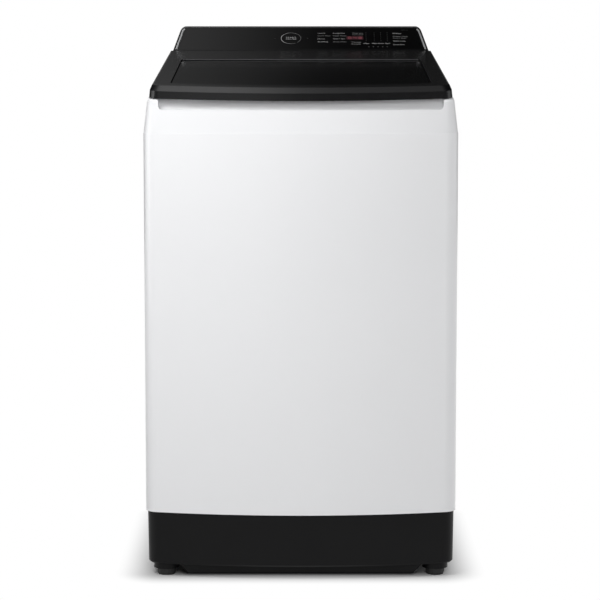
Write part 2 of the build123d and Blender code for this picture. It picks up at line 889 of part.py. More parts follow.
panel_plane = Plane(
    origin=(0, console_front, console_edge),
    x_dir=(1, 0, 0),
    z_dir=(0, -sin(tilt), cos(tilt)),
)
panel_length = (console_rear - console_front) / cos(tilt)
panel_flat = panel_length - console_round / tan(radians(90 - console_tilt) / 2)


def console_half(run, inset=0.0):
    """Half the console's width at a distance up its sloping face."""
    return console_side(console_edge + run * sin(tilt), inset)


def corner_point(hand, inset, angle):
    """Point on the sloping face, set in from the console's round corner at an angle."""
    radius = console_corner_radius - inset
    height = corner_z + radius * sin(radians(angle))
    return (hand * (corner_x + radius * cos(radians(angle))), (height - console_edge) / sin(tilt))


def panel_outline(level, shrink=0.0):
    """Outline of the control panel on the console's sloping face."""
    low = panel_low_margin + shrink
    high = panel_flat - panel_high_margin - shrink
    margin = panel_side_margin + shrink
    with BuildSketch(panel_plane.offset(level)) as face:
        with BuildLine():
            Polyline(
                (-console_half(low) + margin, low),
                (console_half(low) - margin, low),
                (console_half(high) - margin, high),
                (-console_half(high) + margin, high),
                close=True,
            )
        make_face()
        fillet(face.vertices().group_by(Axis.Y)[-1], panel_corner_radius - shrink)
    return face.sketch


def trim_outline(hand, level):
    """Outline of one silver strip, beside the control panel and round the console's corner."""
    low = panel_low_margin
    outer = trim_offset
    inner = trim_offset + trim_width
    half_way = (lean_angle + trim_end_angle) / 2
    with BuildSketch(panel_plane.offset(level)) as strip:
        with BuildLine():
            Polyline(
                corner_point(hand, outer, lean_angle),
                (hand * console_half(low, outer), low),
                (hand * console_half(low, inner), low),
                corner_point(hand, inner, lean_angle),
            )
            ThreePointArc(*(corner_point(hand, inner, a) for a in (lean_angle, half_way, trim_end_angle)))
            Line(*(corner_point(hand, inset, trim_end_angle) for inset in (inner, outer)))
            ThreePointArc(*(corner_point(hand, outer, a) for a in (trim_end_angle, half_way, lean_angle)))
        make_face()
    return strip.sketch


console_outer = console_stock(0)
console_inner = console_stock(console_wall)
with BuildPart() as console_housing:
    add(console_outer)
    slope_face = console_housing.faces().filter_by(
        lambda f: f.normal_at().dot(panel_plane.z_dir) > 0.9999
    )
    fillet(slope_face.edges().filter_by(Axis.X, reverse=True), console_edge_round)
    add(console_inner, mode=Mode.SUBTRACT)
    split(bisect_by=seat, keep=Keep.TOP)
    extrude(panel_outline(0), amount=-panel_thickness, mode=Mode.SUBTRACT)
    extrude(trim_outline(-1, 0), amount=-trim_depth, mode=Mode.SUBTRACT)
    extrude(trim_outline(1, 0), amount=-trim_depth, mode=Mode.SUBTRACT)

with BuildPart() as control_panel:
    extrude(panel_outline(-panel_thickness, panel_gap), amount=panel_thickness)

with BuildPart() as console_trim_left:
    extrude(trim_outline(-1, -trim_depth), amount=trim_depth + trim_proud)

with BuildPart() as console_trim_right:
    extrude(trim_outline(1, -trim_depth), amount=trim_depth + trim_proud)

# Control board on spacers under the console's sloping wall
board_level = -console_wall - board_spacer
board_run = panel_flat / 2
board_hole_x = board_width - 2 * board_spacer
board_hole_y = board_height - 2 * board_spacer
with BuildPart() as control_board:
    with BuildSketch(panel_plane.offset(board_level)):
        with Locations((0, board_run)):
            Rectangle(board_width, board_height)
    extrude(amount=-board_thickness)
    with BuildSketch(panel_plane.offset(board_level)):
        with Locations((0, board_run)):
            with GridLocations(board_hole_x, board_hole_y, 2, 2):
                Circle(board_spacer / 2)
    extrude(amount=board_spacer)
    with BuildSketch(panel_plane.offset(board_level)):
        with Locations((console_half_top / 5, board_run)):
            Rectangle(board_height, board_height / 3)
        with Locations((-console_half_top / 25, board_run)):
            Circle(board_height / 3)
    extrude(amount=board_spacer - drawer_gap)

# Water inlet: two threaded nozzles through the rear wall, with their solenoids inside
cover_rear = y_back - cover_step
valve_plane = Plane(
    origin=(valve_x, cover_rear - cover_wall, valve_z), x_dir=(-1, 0, 0), z_dir=(0, 1, 0)
)
with BuildPart() as inlet_valve:
    with BuildSketch(valve_plane.offset(cover_wall)):
        with GridLocations(nozzle_spacing, 0, 2, 1):
            Circle(nozzle_radius)
    extrude(amount=depth / 2 - cover_rear)
    chamfer(inlet_valve.faces().sort_by(Axis.Y)[-2:].edges(), nozzle_chamfer)
    with BuildSketch(valve_plane):
        with GridLocations(nozzle_spacing, 0, 2, 1):
            Circle(nozzle_radius + hole_gap / 2)
    extrude(amount=cover_wall)
    with BuildSketch(valve_plane):
        SlotOverall(nozzle_spacing + 2 * valve_flange / 1.4, valve_flange * 1.4)
    extrude(amount=-valve_flange_thickness)
    with BuildSketch(valve_plane.offset(-valve_flange_thickness)):
        with GridLocations(nozzle_spacing, 0, 2, 1):
            RectangleRounded(valve_flange, valve_flange, 4)
        Rectangle(nozzle_spacing, pipe_radius * 2)
    extrude(amount=-valve_body_length)
    with BuildSketch(valve_plane.offset(depth / 2 - cover_rear + cover_wall)):
        with GridLocations(nozzle_spacing, 0, 2, 1):
            Circle(nozzle_bore)
    extrude(amount=-valve_flange, mode=Mode.SUBTRACT)

# Dispenser housing behind the opening, and the fill pipe that feeds it
housing_front = opening_rear_y + cover_wall
housing_length = drawer_length + housing_wall + drawer_gap
housing_low = drawer_floor_z - drawer_gap - housing_wall
housing_half = drawer_width / 2 + drawer_gap + housing_wall
housing_tall = drawer_height + 2 * drawer_gap + 2 * housing_wall
valve_inner = cover_rear - cover_wall - valve_flange_thickness - valve_body_length
pipe_y = valve_inner + pipe_radius + pipe_wall
with BuildPart() as dispenser_housing:
    with Locations((drawer_x, housing_front, housing_low)):
        Box(
            2 * housing_half,
            housing_length,
            housing_tall,
            align=(Align.CENTER, Align.MIN, Align.MIN),
        )
    fillet(dispenser_housing.edges().filter_by(Axis.Y), 2 * housing_wall)
    with Locations((drawer_x, housing_front, housing_low + housing_wall)):
        Box(
            2 * (housing_half - housing_wall),
            housing_length - housing_wall,
            housing_tall - 2 * housing_wall,
            align=(Align.CENTER, Align.MIN, Align.MIN),
            mode=Mode.SUBTRACT,
        )
    with Locations((drawer_x, housing_front + housing_length / 2, housing_low)):
        Box(drawer_width / 2, pipe_radius, 3 * housing_wall, mode=Mode.SUBTRACT)
    with Locations((drawer_x + housing_half - housing_wall / 2, pipe_y, valve_z)):
        Cylinder(pipe_radius - pipe_wall, 2 * housing_wall, rotation=(0, 90, 0), mode=Mode.SUBTRACT)

pipe_start = drawer_x + housing_half
pipe_end = valve_x - nozzle_spacing / 2 - valve_flange / 2
with BuildPart() as fill_pipe:
    with BuildSketch(Plane(origin=(pipe_start, pipe_y, valve_z), x_dir=(0, 1, 0), z_dir=(1, 0, 0))):
        Circle(pipe_radius)
        Circle(pipe_radius - pipe_wall, mode=Mode.SUBTRACT)
    extrude(amount=pipe_end - pipe_start)

# Detergent drawer: two bays, a face flush with the collar and a grip along its top
drawer_front = opening_rear_y
with BuildPart() as detergent_drawer:
    with Locations((drawer_x, drawer_front, drawer_floor_z)):
        Box(
            drawer_width,
            drawer_length,
            drawer_height,
            align=(Align.CENTER, Align.MIN, Align.MIN),
        )
    fillet(detergent_drawer.edges().filter_by(Axis.Z).group_by(Axis.Y)[-1], 2 * drawer_wall)
    bay_left = drawer_width / 2 + drawer_divider_x - drawer_wall * 1.5
    bay_right = drawer_width / 2 - drawer_divider_x - drawer_wall * 1.5
    bay_length = drawer_length - drawer_face - drawer_wall
    bay_floor = drawer_floor_z + drawer_wall
    with Locations((drawer_x - drawer_width / 2 + drawer_wall, drawer_front + drawer_face, bay_floor)):
        Box(bay_left, bay_length, drawer_height, align=(Align.MIN, Align.MIN, Align.MIN), mode=Mode.SUBTRACT)
    with Locations((drawer_x + drawer_width / 2 - drawer_wall, drawer_front + drawer_face, bay_floor)):
        Box(bay_right, bay_length, drawer_height, align=(Align.MAX, Align.MIN, Align.MIN), mode=Mode.SUBTRACT)
    with BuildSketch(Plane.YZ.offset(drawer_x)):
        with BuildLine():
            Polyline(
                (drawer_front, bay_floor + drawer_height / 2),
                (drawer_front - grip_depth, bay_floor + drawer_height / 2 + grip_depth / 2),
                (drawer_front - grip_depth, bay_floor + drawer_height / 2 + grip_depth),
                (drawer_front, bay_floor + drawer_height / 2 + grip_depth),
                close=True,
            )
        make_face()
    extrude(amount=drawer_width / 5, both=True)

cap_x = drawer_x + drawer_width / 2 - drawer_wall - bay_right / 2
with BuildPart() as softener_cap:
    with BuildSketch(Plane.XY.offset(bay_floor)):
        with Locations((cap_x, drawer_front + drawer_length / 2)):
            Circle(grip_depth)
            Circle(grip_depth - drawer_wall, mode=Mode.SUBTRACT)
    extrude(amount=drawer_height / 2)
    with BuildSketch(Plane.XY.offset(bay_floor + drawer_height / 2)):
        with Locations((cap_x, drawer_front + drawer_length / 2)):
            Circle(grip_depth)
    extrude(amount=drawer_wall)

# Tub: moulded drum with a ribbed floor, wall ribs and four suspension lugs
rod_distance = rod_offset * sqrt(2)
with BuildPart() as tub:
    with BuildSketch(tub_section):
        with BuildLine():
            Polyline(
                (tub_hub_hole, tub_bottom),
                (tub_radius, tub_bottom),
                (tub_radius, tub_top),
                (tub_radius - tub_wall, tub_top),
                (tub_radius - tub_wall, tub_bottom + tub_floor),
                (tub_hub_hole, tub_bottom + tub_floor),
                close=True,
            )
        make_face()
    revolve(axis=tub_axis)
    floor_edge = tub.edges().filter_by(GeomType.CIRCLE).group_by(Axis.Z)[0].sort_by(SortBy.RADIUS)[-1]
    fillet(floor_edge, 2 * tub_wall)
    with BuildSketch(Plane.XY.offset(tub_bottom)):
        with Locations((0, tub_y)):
            with PolarLocations(0, tub_rib_count, start_angle=15):
                Rectangle(tub_radius - 3 * tub_wall, tub_rib, align=(Align.MIN, Align.CENTER))
            Circle(housing_flange_radius + tub_rib, mode=Mode.SUBTRACT)
            with Locations((pump_x, pump_y)):
                Circle(pump_radius + tub_rib, mode=Mode.SUBTRACT)
    extrude(amount=-tub_rib_depth)
    with BuildSketch(Plane.XY.offset(lug_z)):
        with Locations((0, tub_y)):
            with PolarLocations(0, 4, start_angle=45):
                with Locations(((tub_radius + rod_distance) / 2, 0)):
                    SlotOverall(rod_distance - tub_radius + 3 * lug_half_width, 2 * lug_half_width)
            Circle(tub_radius - tub_wall / 2, mode=Mode.SUBTRACT)
        with Locations(*rods):
            Circle(rod_radius + rod_gap, mode=Mode.SUBTRACT)
    extrude(amount=lug_thickness)
    with BuildSketch(Plane.XY.offset(lug_z + lug_thickness)):
        with Locations((0, tub_y)):
            with PolarLocations(0, 4, start_angle=45):
                with Locations((tub_radius - tub_wall / 2, 0)):
                    with GridLocations(0, 2 * (lug_half_width - tub_rib), 1, 2):
                        Rectangle(lug_half_width, tub_rib, align=(Align.MIN, Align.CENTER))
    extrude(amount=2 * lug_half_width)
    with Locations((pump_x, tub_y + pump_y, tub_bottom)):
        Cylinder(spigot_radius, 4 * tub_floor, mode=Mode.SUBTRACT)

# Tub cover: splash ring over the tub's rim
cover_ring_low = tub_top + cover_ring_height - cover_ring_wall
with BuildPart() as tub_cover:
    with BuildSketch(tub_section):
        with BuildLine():
            Polyline(
                (cover_ring_inner, tub_top + cover_ring_height),
                (tub_radius - cover_ring_height, tub_top + cover_ring_height),
                (tub_radius + cover_ring_wall, tub_top + cover_ring_wall),
                (tub_radius + cover_ring_wall, tub_top - 2 * cover_ring_wall),
                (tub_radius + seat_fit, tub_top - 2 * cover_ring_wall),
                (tub_radius + seat_fit, tub_top),
                (tub_radius - tub_wall, tub_top),
                (tub_radius - cover_ring_height - cover_ring_wall, cover_ring_low),
                (cover_ring_inner + cover_ring_wall, cover_ring_low),
                (cover_ring_inner + cover_ring_wall, tub_top + cover_ring_wall),
                (cover_ring_inner, tub_top + cover_ring_wall),
                close=True,
            )
        make_face()
    revolve(axis=tub_axis)

# Suspension: corner brackets in the cabinet, rods hung in them, damper cups under the lugs
with BuildPart() as suspension_brackets:
    with BuildSketch(Plane.XY.offset(bracket_z)):
        add(body_outline(bracket_z, sheet, sheet, 2 * sheet).faces())
        with BuildSketch(mode=Mode.INTERSECT):
            with Locations(*rods):
                Rectangle(bracket_leg, bracket_leg, rotation=45)
    extrude(amount=bracket_thickness)
    with BuildSketch(Plane.XY.offset(bracket_z)):
        with Locations(*rods):
            Circle(rod_radius + rod_gap)
    extrude(amount=bracket_thickness, mode=Mode.SUBTRACT)

cup_low = lug_z - cup_height
rod_low = cup_low + rod_foot_height
with BuildPart() as suspension_rods:
    with BuildSketch(Plane.XY.offset(rod_low)):
        with Locations(*rods):
            Circle(rod_foot_radius)
    extrude(amount=rod_foot_height)
    with BuildSketch(Plane.XY.offset(rod_low + rod_foot_height)):
        with Locations(*rods):
            Circle(rod_radius)
    extrude(amount=bracket_z + bracket_thickness - rod_low - rod_foot_height)
    with BuildSketch(Plane.XY.offset(bracket_z + bracket_thickness)):
        with Locations(*rods):
            Circle(rod_ball_radius)
    extrude(amount=rod_ball_radius)
    chamfer(suspension_rods.faces().sort_by(Axis.Z)[-4:].edges(), rod_ball_radius / 2)

with BuildPart() as suspension_cups:
    with BuildSketch(Plane.XY.offset(cup_low)):
        with Locations(*rods):
            Circle(cup_radius)
    extrude(amount=cup_height)
    with BuildSketch(Plane.XY.offset(cup_low)):
        with Locations(*rods):
            Circle(cup_radius - cup_wall)
    extrude(amount=cup_height - 2 * cup_wall, mode=Mode.SUBTRACT)
    with BuildSketch(Plane.XY.offset(cup_low)):
        with Locations(*rods):
            Circle(rod_radius + rod_gap)
    extrude(amount=cup_height, mode=Mode.SUBTRACT)

# Basket: rolled steel drum, balance ring on top, moulded floor and a cast hub below
with BuildPart() as drum:
    with BuildSketch(tub_section):
        with BuildLine():
            outer_wall = Polyline(
                (drum_radius, drum_bottom),
                (drum_radius, drum_bottom + 6 * drum_bead),
                (drum_radius - drum_bead, drum_bottom + 8 * drum_bead),
                (drum_radius - drum_bead, drum_bottom + 10 * drum_bead),
                (drum_radius, drum_bottom + 12 * drum_bead),
                (drum_radius, drum_top - 12 * drum_bead),
                (drum_radius - drum_bead, drum_top - 10 * drum_bead),
                (drum_radius - drum_bead, drum_top - 8 * drum_bead),
                (drum_radius, drum_top - 6 * drum_bead),
                (drum_radius, drum_top),
            )
            offset(outer_wall, amount=drum_sheet, side=Side.LEFT)
        make_face()
    revolve(axis=tub_axis)
    with Locations((drum_radius, tub_y, filter_z), (-drum_radius, tub_y, filter_z)):
        Box(
            6 * filter_depth,
            filter_width - 2 * filter_frame + 2 * filter_gap,
            filter_height - 2 * filter_frame + 2 * filter_gap,
            mode=Mode.SUBTRACT,
        )

with BuildPart() as balance_ring:
    with BuildSketch(tub_section) as ring_section:
        with Locations((ring_inner, drum_top)):
            Rectangle(drum_radius - ring_inner, ring_height, align=(Align.MIN, Align.MIN))
        chamfer(ring_section.vertices().group_by(Axis.Y)[-1], ring_round)
        chamfer(ring_section.vertices().group_by(Axis.Y)[0].sort_by(Axis.X)[0], ring_round)
    revolve(axis=tub_axis)

basket_low = drum_bottom - basket_floor
drum_inner = drum_radius - drum_sheet
with BuildPart() as basket_base:
    with BuildSketch(tub_section):
        with BuildLine():
            Polyline(
                (spin_shaft_radius + basket_floor, basket_low),
                (drum_radius, basket_low),
                (drum_radius, drum_bottom),
                (drum_inner - seat_fit, drum_bottom),
                (drum_inner - seat_fit, drum_bottom + basket_rim),
                (drum_inner - basket_floor, drum_bottom + basket_rim),
                (drum_inner - 2 * basket_floor, drum_bottom),
                (spin_shaft_radius + basket_floor, drum_bottom),
                close=True,
            )
        make_face()
    revolve(axis=tub_axis)
    with BuildSketch(Plane.XY.offset(basket_low)):
        with Locations((0, tub_y)):
            with PolarLocations(drum_radius - basket_slot_inset, basket_slot_count):
                SlotOverall(6 * basket_floor, 1.6 * basket_floor)
    extrude(amount=basket_floor, mode=Mode.SUBTRACT)

hub_low = basket_low - hub_thickness
pocket_inner = 1.6 * hub_boss_radius + hub_arm_width / 4
pocket_outer = hub_arm_radius - hub_arm_width / 4
with BuildPart() as drive_hub:
    with BuildSketch(Plane.XY.offset(hub_low)):
        with Locations((0, tub_y)):
            with PolarLocations(hub_arm_radius / 2, hub_arm_count):
                SlotOverall(hub_arm_radius, hub_arm_width)
            Circle(1.6 * hub_boss_radius)
    extrude(amount=hub_thickness)
    with BuildSketch(Plane.XY.offset(hub_low)):
        with Locations((0, tub_y)):
            with PolarLocations((pocket_outer + pocket_inner) / 2, hub_arm_count):
                SlotOverall(pocket_outer - pocket_inner, hub_arm_width / 2)
    extrude(amount=hub_thickness / 2, mode=Mode.SUBTRACT)
    with BuildSketch(Plane.XY.offset(hub_low - hub_thickness / 2)):
        with Locations((0, tub_y)):
            Circle(hub_boss_radius)
    extrude(amount=hub_thickness)
    with BuildSketch(Plane.XY.offset(hub_low - hub_thickness / 2)):
        with Locations((0, tub_y)):
            Circle(spin_shaft_radius + seat_fit)
    extrude(amount=2 * hub_thickness, mode=Mode.SUBTRACT)

with BuildPart() as spin_shaft:
    with BuildSketch(Plane.XY.offset(spin_shaft_bottom)):
        with Locations((0, tub_y)):
            Circle(spin_shaft_radius)
            Circle(wash_shaft_radius + running_gap, mode=Mode.SUBTRACT)
    extrude(amount=drum_bottom - spin_shaft_bottom)

# Lint filters: slotted cassettes clipped into windows in the drum's wall
filter_back = drum_inner - drum_sheet
filter_face = sqrt(filter_back**2 - (filter_width / 2) ** 2) - filter_depth
with BuildPart() as lint_filter_right:
    with BuildSketch(Plane.XY.offset(filter_z - filter_height / 2)):
        with Locations((0, tub_y)):
            Circle(filter_back)
            with Locations((filter_face, 0)):
                Rectangle(
                    2 * filter_depth + filter_back,
                    filter_width,
                    align=(Align.MIN, Align.CENTER),
                    mode=Mode.INTERSECT,
                )
    extrude(amount=filter_height)
    fillet(lint_filter_right.faces().sort_by(Axis.X)[0].edges(), filter_frame / 2)
    window_width = filter_width - 2 * filter_frame
    window_height = filter_height - 2 * filter_frame
    with BuildSketch(Plane.XY.offset(filter_z - window_height / 2)):
        with Locations((0, tub_y)):
            Circle(drum_radius + 2 * drum_sheet)
            with Locations((filter_face + filter_depth, 0)):
                Rectangle(filter_back, window_width, align=(Align.MIN, Align.CENTER), mode=Mode.INTERSECT)
    extrude(amount=window_height)
    with Locations((filter_face + drum_bead, tub_y, filter_z)):
        Box(
            filter_back,
            window_width - 2 * drum_bead,
            window_height - 2 * drum_bead,
            align=(Align.MIN, Align.CENTER, Align.CENTER),
            mode=Mode.SUBTRACT,
        )
    slot_pitch = (window_height - 2 * drum_bead) / filter_slot_count
    with BuildSketch(Plane(origin=(filter_face, tub_y, filter_z), x_dir=(0, 1, 0), z_dir=(1, 0, 0))):
        with GridLocations(0, slot_pitch, 1, filter_slot_count):
            SlotOverall(window_width - 4 * drum_bead, slot_pitch / 2)
    extrude(amount=2 * drum_bead, mode=Mode.SUBTRACT)

with BuildPart() as lint_filter_left:
    add(mirror(lint_filter_right.part, about=Plane.YZ, mode=Mode.PRIVATE))

# Pulsator: dished disc with curved vanes running up to a central cap
pulsator_low = drum_bottom + pulsator_lift
pulsator_top = pulsator_low + pulsator_dome
vane_low = pulsator_low + pulsator_rim / 2


def polar(radius, angle):
    """Point about the tub's axis."""
    return (radius * cos(radians(angle)), radius * sin(radians(angle)))


def dish_section(drop, thickness):
    """Closed section of the pulsator's dish, lowered and reaching a depth below its upper line."""
    rim = (pulsator_radius, pulsator_low + pulsator_rim - drop)
    valley = (0.76 * pulsator_radius, vane_low - drop)
    shoulder = (0.5 * pulsator_radius, vane_low + pulsator_dome / 5 - drop)
    crown = (cap_radius, pulsator_top - drop)
    with BuildSketch(tub_section) as section:
        with BuildLine():
            Line(rim, valley)
            ThreePointArc(valley, shoulder, crown)
            Polyline(crown, (crown[0], crown[1] - thickness))
            ThreePointArc(
                (crown[0], crown[1] - thickness),
                (shoulder[0], shoulder[1] - thickness),
                (valley[0], valley[1] - thickness),
            )
            Polyline((valley[0], valley[1] - thickness), (rim[0], rim[1] - thickness), rim)
        make_face()
    return section.sketch


def vane_outline():
    """Plan of one curved vane."""
    inner_a = polar(cap_radius, 0)
    inner_b = polar(cap_radius, 44)
    outer_a = polar(0.93 * pulsator_radius, 24)
    outer_b = polar(0.93 * pulsator_radius, 40)
    with BuildSketch() as plan:
        with BuildLine():
            ThreePointArc(inner_a, polar(0.55 * pulsator_radius, 4), outer_a)
            ThreePointArc(outer_a, polar(0.96 * pulsator_radius, 32), outer_b)
            ThreePointArc(outer_b, polar(0.55 * pulsator_radius, 27), inner_b)
            Line(inner_b, inner_a)
        make_face()
    return plan.sketch


with BuildPart() as vane_stock:
    with BuildSketch(Plane.XY.offset(pulsator_low)):
        with Locations((0, tub_y)):
            with PolarLocations(0, vane_count):
                add(vane_outline())
    extrude(amount=pulsator_dome)
    with BuildSketch(tub_section):
        with BuildLine():
            Polyline(
                (0, pulsator_low),
                (0, pulsator_top),
                (cap_radius, pulsator_top),
            )
            ThreePointArc(
                (cap_radius, pulsator_top),
                (0.55 * pulsator_radius, vane_low + vane_height),
                (0.97 * pulsator_radius, pulsator_low + pulsator_rim),
            )
            Polyline(
                (0.97 * pulsator_radius, pulsator_low + pulsator_rim),
                (0.97 * pulsator_radius, pulsator_low),
                (0, pulsator_low),
            )
        make_face()
    revolve(axis=tub_axis, mode=Mode.INTERSECT)
    revolve(dish_section(pulsator_wall, 2 * pulsator_dome).faces(), axis=tub_axis, mode=Mode.SUBTRACT)

cap_seat = pulsator_top - cap_height
shaft_top = cap_seat - pulsator_wall
with BuildPart() as pulsator:
    revolve(dish_section(0, pulsator_wall).faces(), axis=tub_axis)
    add(vane_stock.part)
    with BuildSketch(Plane.XY.offset(pulsator_low)):
        with Locations((0, tub_y)):
            Circle(cap_radius + pulsator_wall)
    extrude(amount=pulsator_dome - pulsator_wall)
    with BuildSketch(Plane.XY.offset(cap_seat)):
        with Locations((0, tub_y)):
            Circle(cap_radius)
    extrude(amount=2 * cap_height, mode=Mode.SUBTRACT)
    with BuildSketch(Plane.XY.offset(pulsator_low)):
        with Locations((0, tub_y)):
            Circle(cap_radius)
            Circle(wash_shaft_radius + pulsator_wall, mode=Mode.SUBTRACT)
    extrude(amount=shaft_top - pulsator_wall - pulsator_low, mode=Mode.SUBTRACT)
    with BuildSketch(Plane.XY.offset(pulsator_low)):
        with Locations((0, tub_y)):
            Circle(wash_shaft_radius + seat_fit)
    extrude(amount=shaft_top - pulsator_low, mode=Mode.SUBTRACT)
    with BuildSketch(Plane.XY.offset(pulsator_low)):
        with Locations((0, tub_y)):
            Circle(bolt_radius + seat_fit)
            with PolarLocations(0.8 * pulsator_radius, vane_count, start_angle=60):
                with Locations((0, 0), polar(drain_hole_pitch, 0), polar(drain_hole_pitch, 90)):
                    Circle(drain_hole_radius)
    extrude(amount=pulsator_dome, mode=Mode.SUBTRACT)

with BuildPart() as pulsator_bolt:
    with BuildSketch(Plane.XY.offset(cap_seat)):
        with Locations((0, tub_y)):
            Circle(bolt_head_radius)
    extrude(amount=cap_height / 2)
    with BuildSketch(Plane.XY.offset(cap_seat)):
        with Locations((0, tub_y)):
            Circle(bolt_radius)
    extrude(amount=-bolt_length)

with BuildPart() as pulsator_cap:
    with BuildSketch(tub_section):
        with BuildLine():
            Polyline(
                (0, cap_seat + cap_height / 2),
                (cap_radius - pulsator_wall, cap_seat + cap_height / 2),
                (cap_radius - pulsator_wall, cap_seat),
                (cap_radius - seat_fit, cap_seat),
                (cap_radius - seat_fit, pulsator_top),
            )
            TangentArc(
                (0, pulsator_top + cap_height / 2),
                (cap_radius - seat_fit, pulsator_top),
                tangent=(1, 0),
            )
            Line((0, pulsator_top + cap_height / 2), (0, cap_seat + cap_height / 2))
        make_face()
    revolve(axis=tub_axis)

# Drive: bearing housing under the tub, bearings, seal, stator, rotor and the inner shaft
rotor_nut_low = rotor_plate_z - rotor_nut_height
with BuildPart() as wash_shaft:
    with BuildSketch(Plane.XY.offset(rotor_nut_low)):
        with Locations((0, tub_y)):
            Circle(wash_shaft_radius)
    extrude(amount=shaft_top - rotor_nut_low)
    chamfer(wash_shaft.edges().group_by(Axis.Z)[0], stud_chamfer)
    with BuildSketch(Plane.XY.offset(shaft_top)):
        with Locations((0, tub_y)):
            Circle(bolt_radius + seat_fit)
    extrude(amount=-bolt_length, mode=Mode.SUBTRACT)

housing_top = upper_bearing_z + bearing_height + seal_height
stator_top = tub_bottom - housing_flange - stator_pad
with BuildPart() as bearing_housing:
    with BuildSketch(tub_section):
        with BuildLine():
            Polyline(
                (bearing_radius + seat_fit, lower_bearing_z),
                (housing_hub_radius, lower_bearing_z),
                (housing_hub_radius, tub_bottom - housing_flange),
                (stator_inner, tub_bottom - housing_flange),
                (stator_inner, stator_top),
                (stator_inner + stator_back, stator_top),
                (stator_inner + stator_back, tub_bottom - housing_flange),
                (housing_flange_radius, tub_bottom - housing_flange),
                (housing_flange_radius, tub_bottom),
                (housing_hub_radius, tub_bottom),
                (housing_hub_radius, housing_top),
                (bearing_radius + seat_fit, housing_top),
                (bearing_radius + seat_fit, upper_bearing_z),
                (spin_shaft_radius + hub_thickness / 2, upper_bearing_z),
                (spin_shaft_radius + hub_thickness / 2, lower_bearing_z + bearing_height),
                (bearing_radius + seat_fit, lower_bearing_z + bearing_height),
                close=True,
            )
        make_face()
    revolve(axis=tub_axis)

bearing_parts = []
for bearing_z, ring_height_z in (
    (upper_bearing_z, bearing_height),
    (lower_bearing_z, bearing_height),
    (upper_bearing_z + bearing_height, seal_height),
):
    with BuildPart() as race:
        with BuildSketch(Plane.XY.offset(bearing_z)):
            with Locations((0, tub_y)):
                Circle(bearing_radius)
                Circle(spin_shaft_radius + running_gap, mode=Mode.SUBTRACT)
        extrude(amount=ring_height_z)
        chamfer(race.edges().filter_by(GeomType.CIRCLE).sort_by(SortBy.RADIUS)[-2:], bearing_chamfer)
    bearing_parts.append(race.part)

pole_length = stator_outer - stator_inner - stator_back
with BuildPart() as stator:
    with BuildSketch(Plane.XY.offset(stator_top)):
        with Locations((0, tub_y)):
            Circle(stator_inner + stator_back)
            with PolarLocations(stator_inner + stator_back - 1, stator_slots):
                Rectangle(pole_length, pole_width, align=(Align.MIN, Align.CENTER))
            with PolarLocations(stator_outer - pole_tip_depth, stator_slots):
                Rectangle(pole_tip_depth, pole_tip, align=(Align.MIN, Align.CENTER))
            Circle(stator_inner, mode=Mode.SUBTRACT)
    extrude(amount=-stator_height)

magnet_inner = sqrt(stator_outer**2 + (pole_tip / 2) ** 2) + air_gap
rotor_inner = magnet_inner + magnet_thickness
with BuildPart() as rotor:
    with BuildSketch(tub_section):
        with BuildLine():
            Polyline(
                (wash_shaft_radius + seat_fit, rotor_plate_z),
                (rotor_inner + rotor_wall, rotor_plate_z),
                (rotor_inner + rotor_wall, stator_top),
                (rotor_inner, stator_top),
                (rotor_inner, rotor_plate_z + rotor_wall),
                (rotor_hub_radius, rotor_plate_z + rotor_wall),
                (rotor_hub_radius, spin_shaft_bottom - 2 * ear_gap),
                (wash_shaft_radius + seat_fit, spin_shaft_bottom - 2 * ear_gap),
                close=True,
            )
        make_face()
    revolve(axis=tub_axis)
    with BuildSketch(Plane.XY.offset(rotor_plate_z)):
        with Locations((0, tub_y)):
            with PolarLocations((rotor_inner + rotor_hub_radius) / 2, rotor_vent_count):
                SlotOverall(rotor_inner / 2, hub_thickness)
    extrude(amount=rotor_wall, mode=Mode.SUBTRACT)

with BuildPart() as rotor_magnets:
    with BuildSketch(Plane.XY.offset(stator_top - stator_height)):
        with Locations((0, tub_y)):
            Circle(rotor_inner - seat_fit)
            Circle(magnet_inner, mode=Mode.SUBTRACT)
            with PolarLocations(0, magnet_count):
                Rectangle(
                    2 * rotor_inner,
                    ear_gap,
                    align=(Align.MIN, Align.CENTER),
                    mode=Mode.SUBTRACT,
                )
    extrude(amount=stator_height)

with BuildPart() as rotor_nut:
    with BuildSketch(Plane.XY.offset(rotor_nut_low)):
        with Locations((0, tub_y)):
            RegularPolygon(1.6 * wash_shaft_radius, 6, major_radius=False)
            Circle(wash_shaft_radius + seat_fit, mode=Mode.SUBTRACT)
    extrude(amount=rotor_nut_height)

# Drain: pump under the tub, hose to the outlet in the back panel
pump_centre = (pump_x, tub_y + pump_y)
with BuildPart() as drain_pump:
    with BuildSketch(Plane.XY.offset(tub_bottom)):
        with Locations(pump_centre):
            Circle(pump_radius)
    extrude(amount=-pump_height)
    with BuildSketch(Plane.XY.offset(tub_bottom - pump_height)):
        with Locations(pump_centre):
            Circle(0.7 * pump_radius)
    extrude(amount=-pump_height / 2)
    chamfer(drain_pump.faces().sort_by(Axis.Z)[0].edges(), tub_rib)
    with BuildSketch(Plane(origin=(pump_x, tub_y + pump_y, outlet_z), x_dir=(-1, 0, 0), z_dir=(0, 1, 0))):
        Circle(spigot_radius)
    extrude(amount=pump_radius + spigot_length)
    with BuildSketch(Plane(origin=(pump_x, tub_y + pump_y, outlet_z), x_dir=(-1, 0, 0), z_dir=(0, 1, 0))):
        Circle(spigot_radius - spigot_wall)
    extrude(amount=pump_radius + spigot_length, mode=Mode.SUBTRACT)
    with BuildSketch(Plane.XY.offset(tub_bottom)):
        with Locations(pump_centre):
            Circle(spigot_radius)
    extrude(amount=outlet_z - spigot_radius - tub_bottom, mode=Mode.SUBTRACT)

